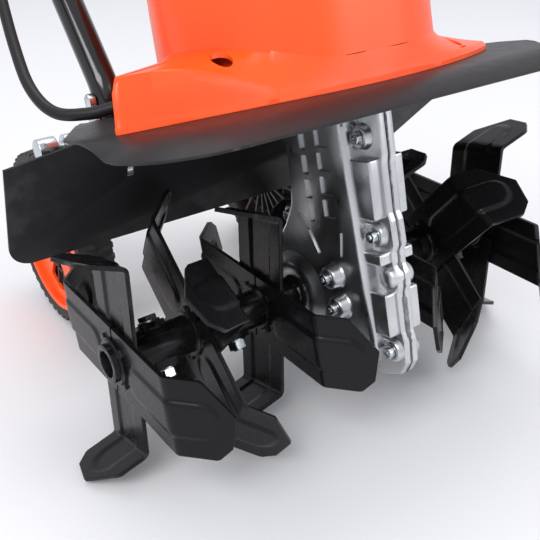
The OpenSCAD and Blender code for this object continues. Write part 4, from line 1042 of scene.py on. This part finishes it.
eased("cable_clips", 0.5, "black_plastic", "top_handle", angle=60)

# the bail: two arms on two pins, and the rod that the fingers pull
BAIL_R = 4.0
PULL = 50 * Vector((0, -math.sin(rad(38)), math.cos(rad(38))))


def bail_spot(x):
    return Vector((x, -22, 8))


bail = [tube([bail_spot(-61), bail_spot(-61) + PULL], BAIL_R, 20, "orange")]
bail += [tube([bail_spot(s * 47), bail_spot(s * 62)], BAIL_R, 20, "orange") for s in (-1, 1)]
bail += [tube([bail_spot(61), bail_spot(61) + PULL], BAIL_R, 20, "orange"),
        tube([bail_spot(-125) + PULL, bail_spot(125) + PULL], 5.0, 24, "orange")]
bail += [turned([(s * 58, 0), (s * 58, 6.6), (s * 58.6, 7), (s * 63.4, 7), (s * 64, 6.6), (s * 64, 0)], "X", (-22, 8),
        32) for s in (-1, 1)]
as_piece("Bail_lever", merge(*bail), AT_BAR, "bail", "orange", "bail_lever", bevel=(0.8, 2, 60))

# ---------------------------------------------------------------- cable
def spline(p, n):
    out = []
    for i in range(len(p) - 1):
        m0 = (p[i + 1] - p[max(i - 1, 0)]) / (1 if i == 0 else 2)
        m1 = (p[min(i + 2, len(p) - 1)] - p[i]) / (1 if i + 2 > len(p) - 1 else 2)
        for k in range(n):
            t = k / n
            out.append((2 * t ** 3 - 3 * t ** 2 + 1) * p[i] + (t ** 3 - 2 * t ** 2 + t) * m0
                    + (-2 * t ** 3 + 3 * t ** 2) * p[i + 1] + (t ** 3 - t ** 2) * m1)
    return out + [p[-1]]


CABLE_R = 4.0
OUT = Vector((RUN[1], -RUN[0]))


def slack(d, off):
    """A point beside the fold axis: d along the tube, off behind it."""
    return yz(-150, FOLD + d * RUN + off * OUT)


low = [(-158.5, -55, 182), (-168.2, -46.3, 182), (-183, -36, 180.5), (-198, -18, 184), (-202, 6, 200), (-197, 34, 228),
        (-188, 66, 270), (-178, 98, 318), (-167, 132, 370), (-158, 168, 424), (-152, 204, 482), slack(-80, 24),
        slack(-36, 41), slack(-12, 44), slack(0, 44)]
as_piece("Cable_lower", tube(spline([Vector(p) for p in low], 10), CABLE_R, 20, "rubber"), LEAN, "base", "rubber",
        "cable_lower")
NG = Vector((math.cos(G_ANG), -math.sin(G_ANG)))
end = BAR - 46 * GRIP - 10 * NG
high = [slack(0.6, 44), slack(12, 44), slack(36, 41), slack(80, 24)]
high += [slack(d, 14) for d in range(140, 381, 60)]
high += [yz(-146, FOLD + 425 * RUN + 24 * OUT), yz(-126, end - 86 * GRIP + 12 * NG), yz(-88, end - 66 * GRIP + 8 * NG),
        yz(-54, end - 46 * GRIP + 2 * NG), yz(-37, end - 24 * GRIP), yz(-34, end - 4 * GRIP), yz(-34, end + 6 * GRIP)]
as_piece("Cable_upper", tube(spline([Vector(p) for p in high], 8), CABLE_R, 20, "rubber"), LEAN, "top_handle", "rubber",
        "cable_upper")

# ---------------------------------------------------------------- inner pieces keep their CAD shape
INNER = {"shaft_key": "steel", "worm_wheel": "bronze", "worm": "steel", "motor_shaft": "steel",
        "worm_bearings": "steel",
        "shaft_bearings": "steel", "motor_fan": "black_plastic", "motor_armature": "copper", "motor_stator": "iron",
        "brush_holders": "bronze", "motor_cage": "black_plastic", "plunger_spring": "steel"}
for node, slot in INNER.items():
    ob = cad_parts[node]
    for held in ob.material_slots:
        held.material = M[slot]
    if not ob.material_slots:
        ob.data.materials.append(M[slot])

# ---------------------------------------------------------------- floor, light and camera
floor = bpy.data.meshes.new("Floor")
floor.from_pydata([(-6, -6, 0), (6, -6, 0), (6, 6, 0), (-6, 6, 0)], [], [(0, 1, 2, 3)])
pale = finish("Pale floor", (0.72, 0.72, 0.73), (0.70, 0.70, 0.71), (0.55, 0.65), scale=1.0, grain=(40, 0.01, 0.0001))
floor.materials.append(pale)
ground = placed("Floor", floor)
ground.location.z = -0.0005

bpy.context.scene.view_settings.view_transform = "Standard"
world = bpy.data.worlds.new("Studio")
bpy.context.scene.world = world
world.use_nodes = True
world.node_tree.nodes["Background"].inputs[0].default_value = (0.93, 0.94, 1.0, 1)
world.node_tree.nodes["Background"].inputs[1].default_value = 0.88


def lamp(name, at, aim, size, power, colour=(1, 1, 1)):
    data = bpy.data.lights.new(name, "AREA")
    data.shape, data.size, data.size_y, data.energy, data.color = "RECTANGLE", *size, power, colour
    ob = placed(name, data)
    ob.location = at
    ob.rotation_euler = (Vector(at) - Vector(aim)).to_track_quat("Z", "Y").to_euler()


lamp("Key", (-1.6, -1.2, 1.9), (0, -0.3, 0.2), (1.4, 1.0), 34)
lamp("Fill", (1.2, -1.9, 1.2), (0, -0.35, 0.2), (1.6, 1.2), 16)
lamp("Top", (0.2, 0.4, 2.4), (0, -0.3, 0.1), (1.6, 1.6), 22)

az, el, roll = rad(-35.11), rad(28.88), rad(-0.97)
back = Vector((math.sin(az) * math.cos(el), -math.cos(az) * math.cos(el), math.sin(el)))
right = Vector((math.cos(az), math.sin(az), 0))
upward = back.cross(right)
right, upward = math.cos(roll) * right + math.sin(roll) * upward, -math.sin(roll) * right + math.cos(roll) * upward
cam = bpy.data.cameras.new("Camera")
cam.sensor_width, cam.lens = 36.0, 54.81
cam.clip_start = 0.01
eye = placed("Camera", cam)
eye.matrix_world = Matrix.Translation((-0.3802, -0.4705 + Y_MID / 1000, 0.3468 + SHAFT_H / 1000)) @ Matrix(
        (right, upward, back)).transposed().to_4x4()
bpy.context.scene.camera = eye
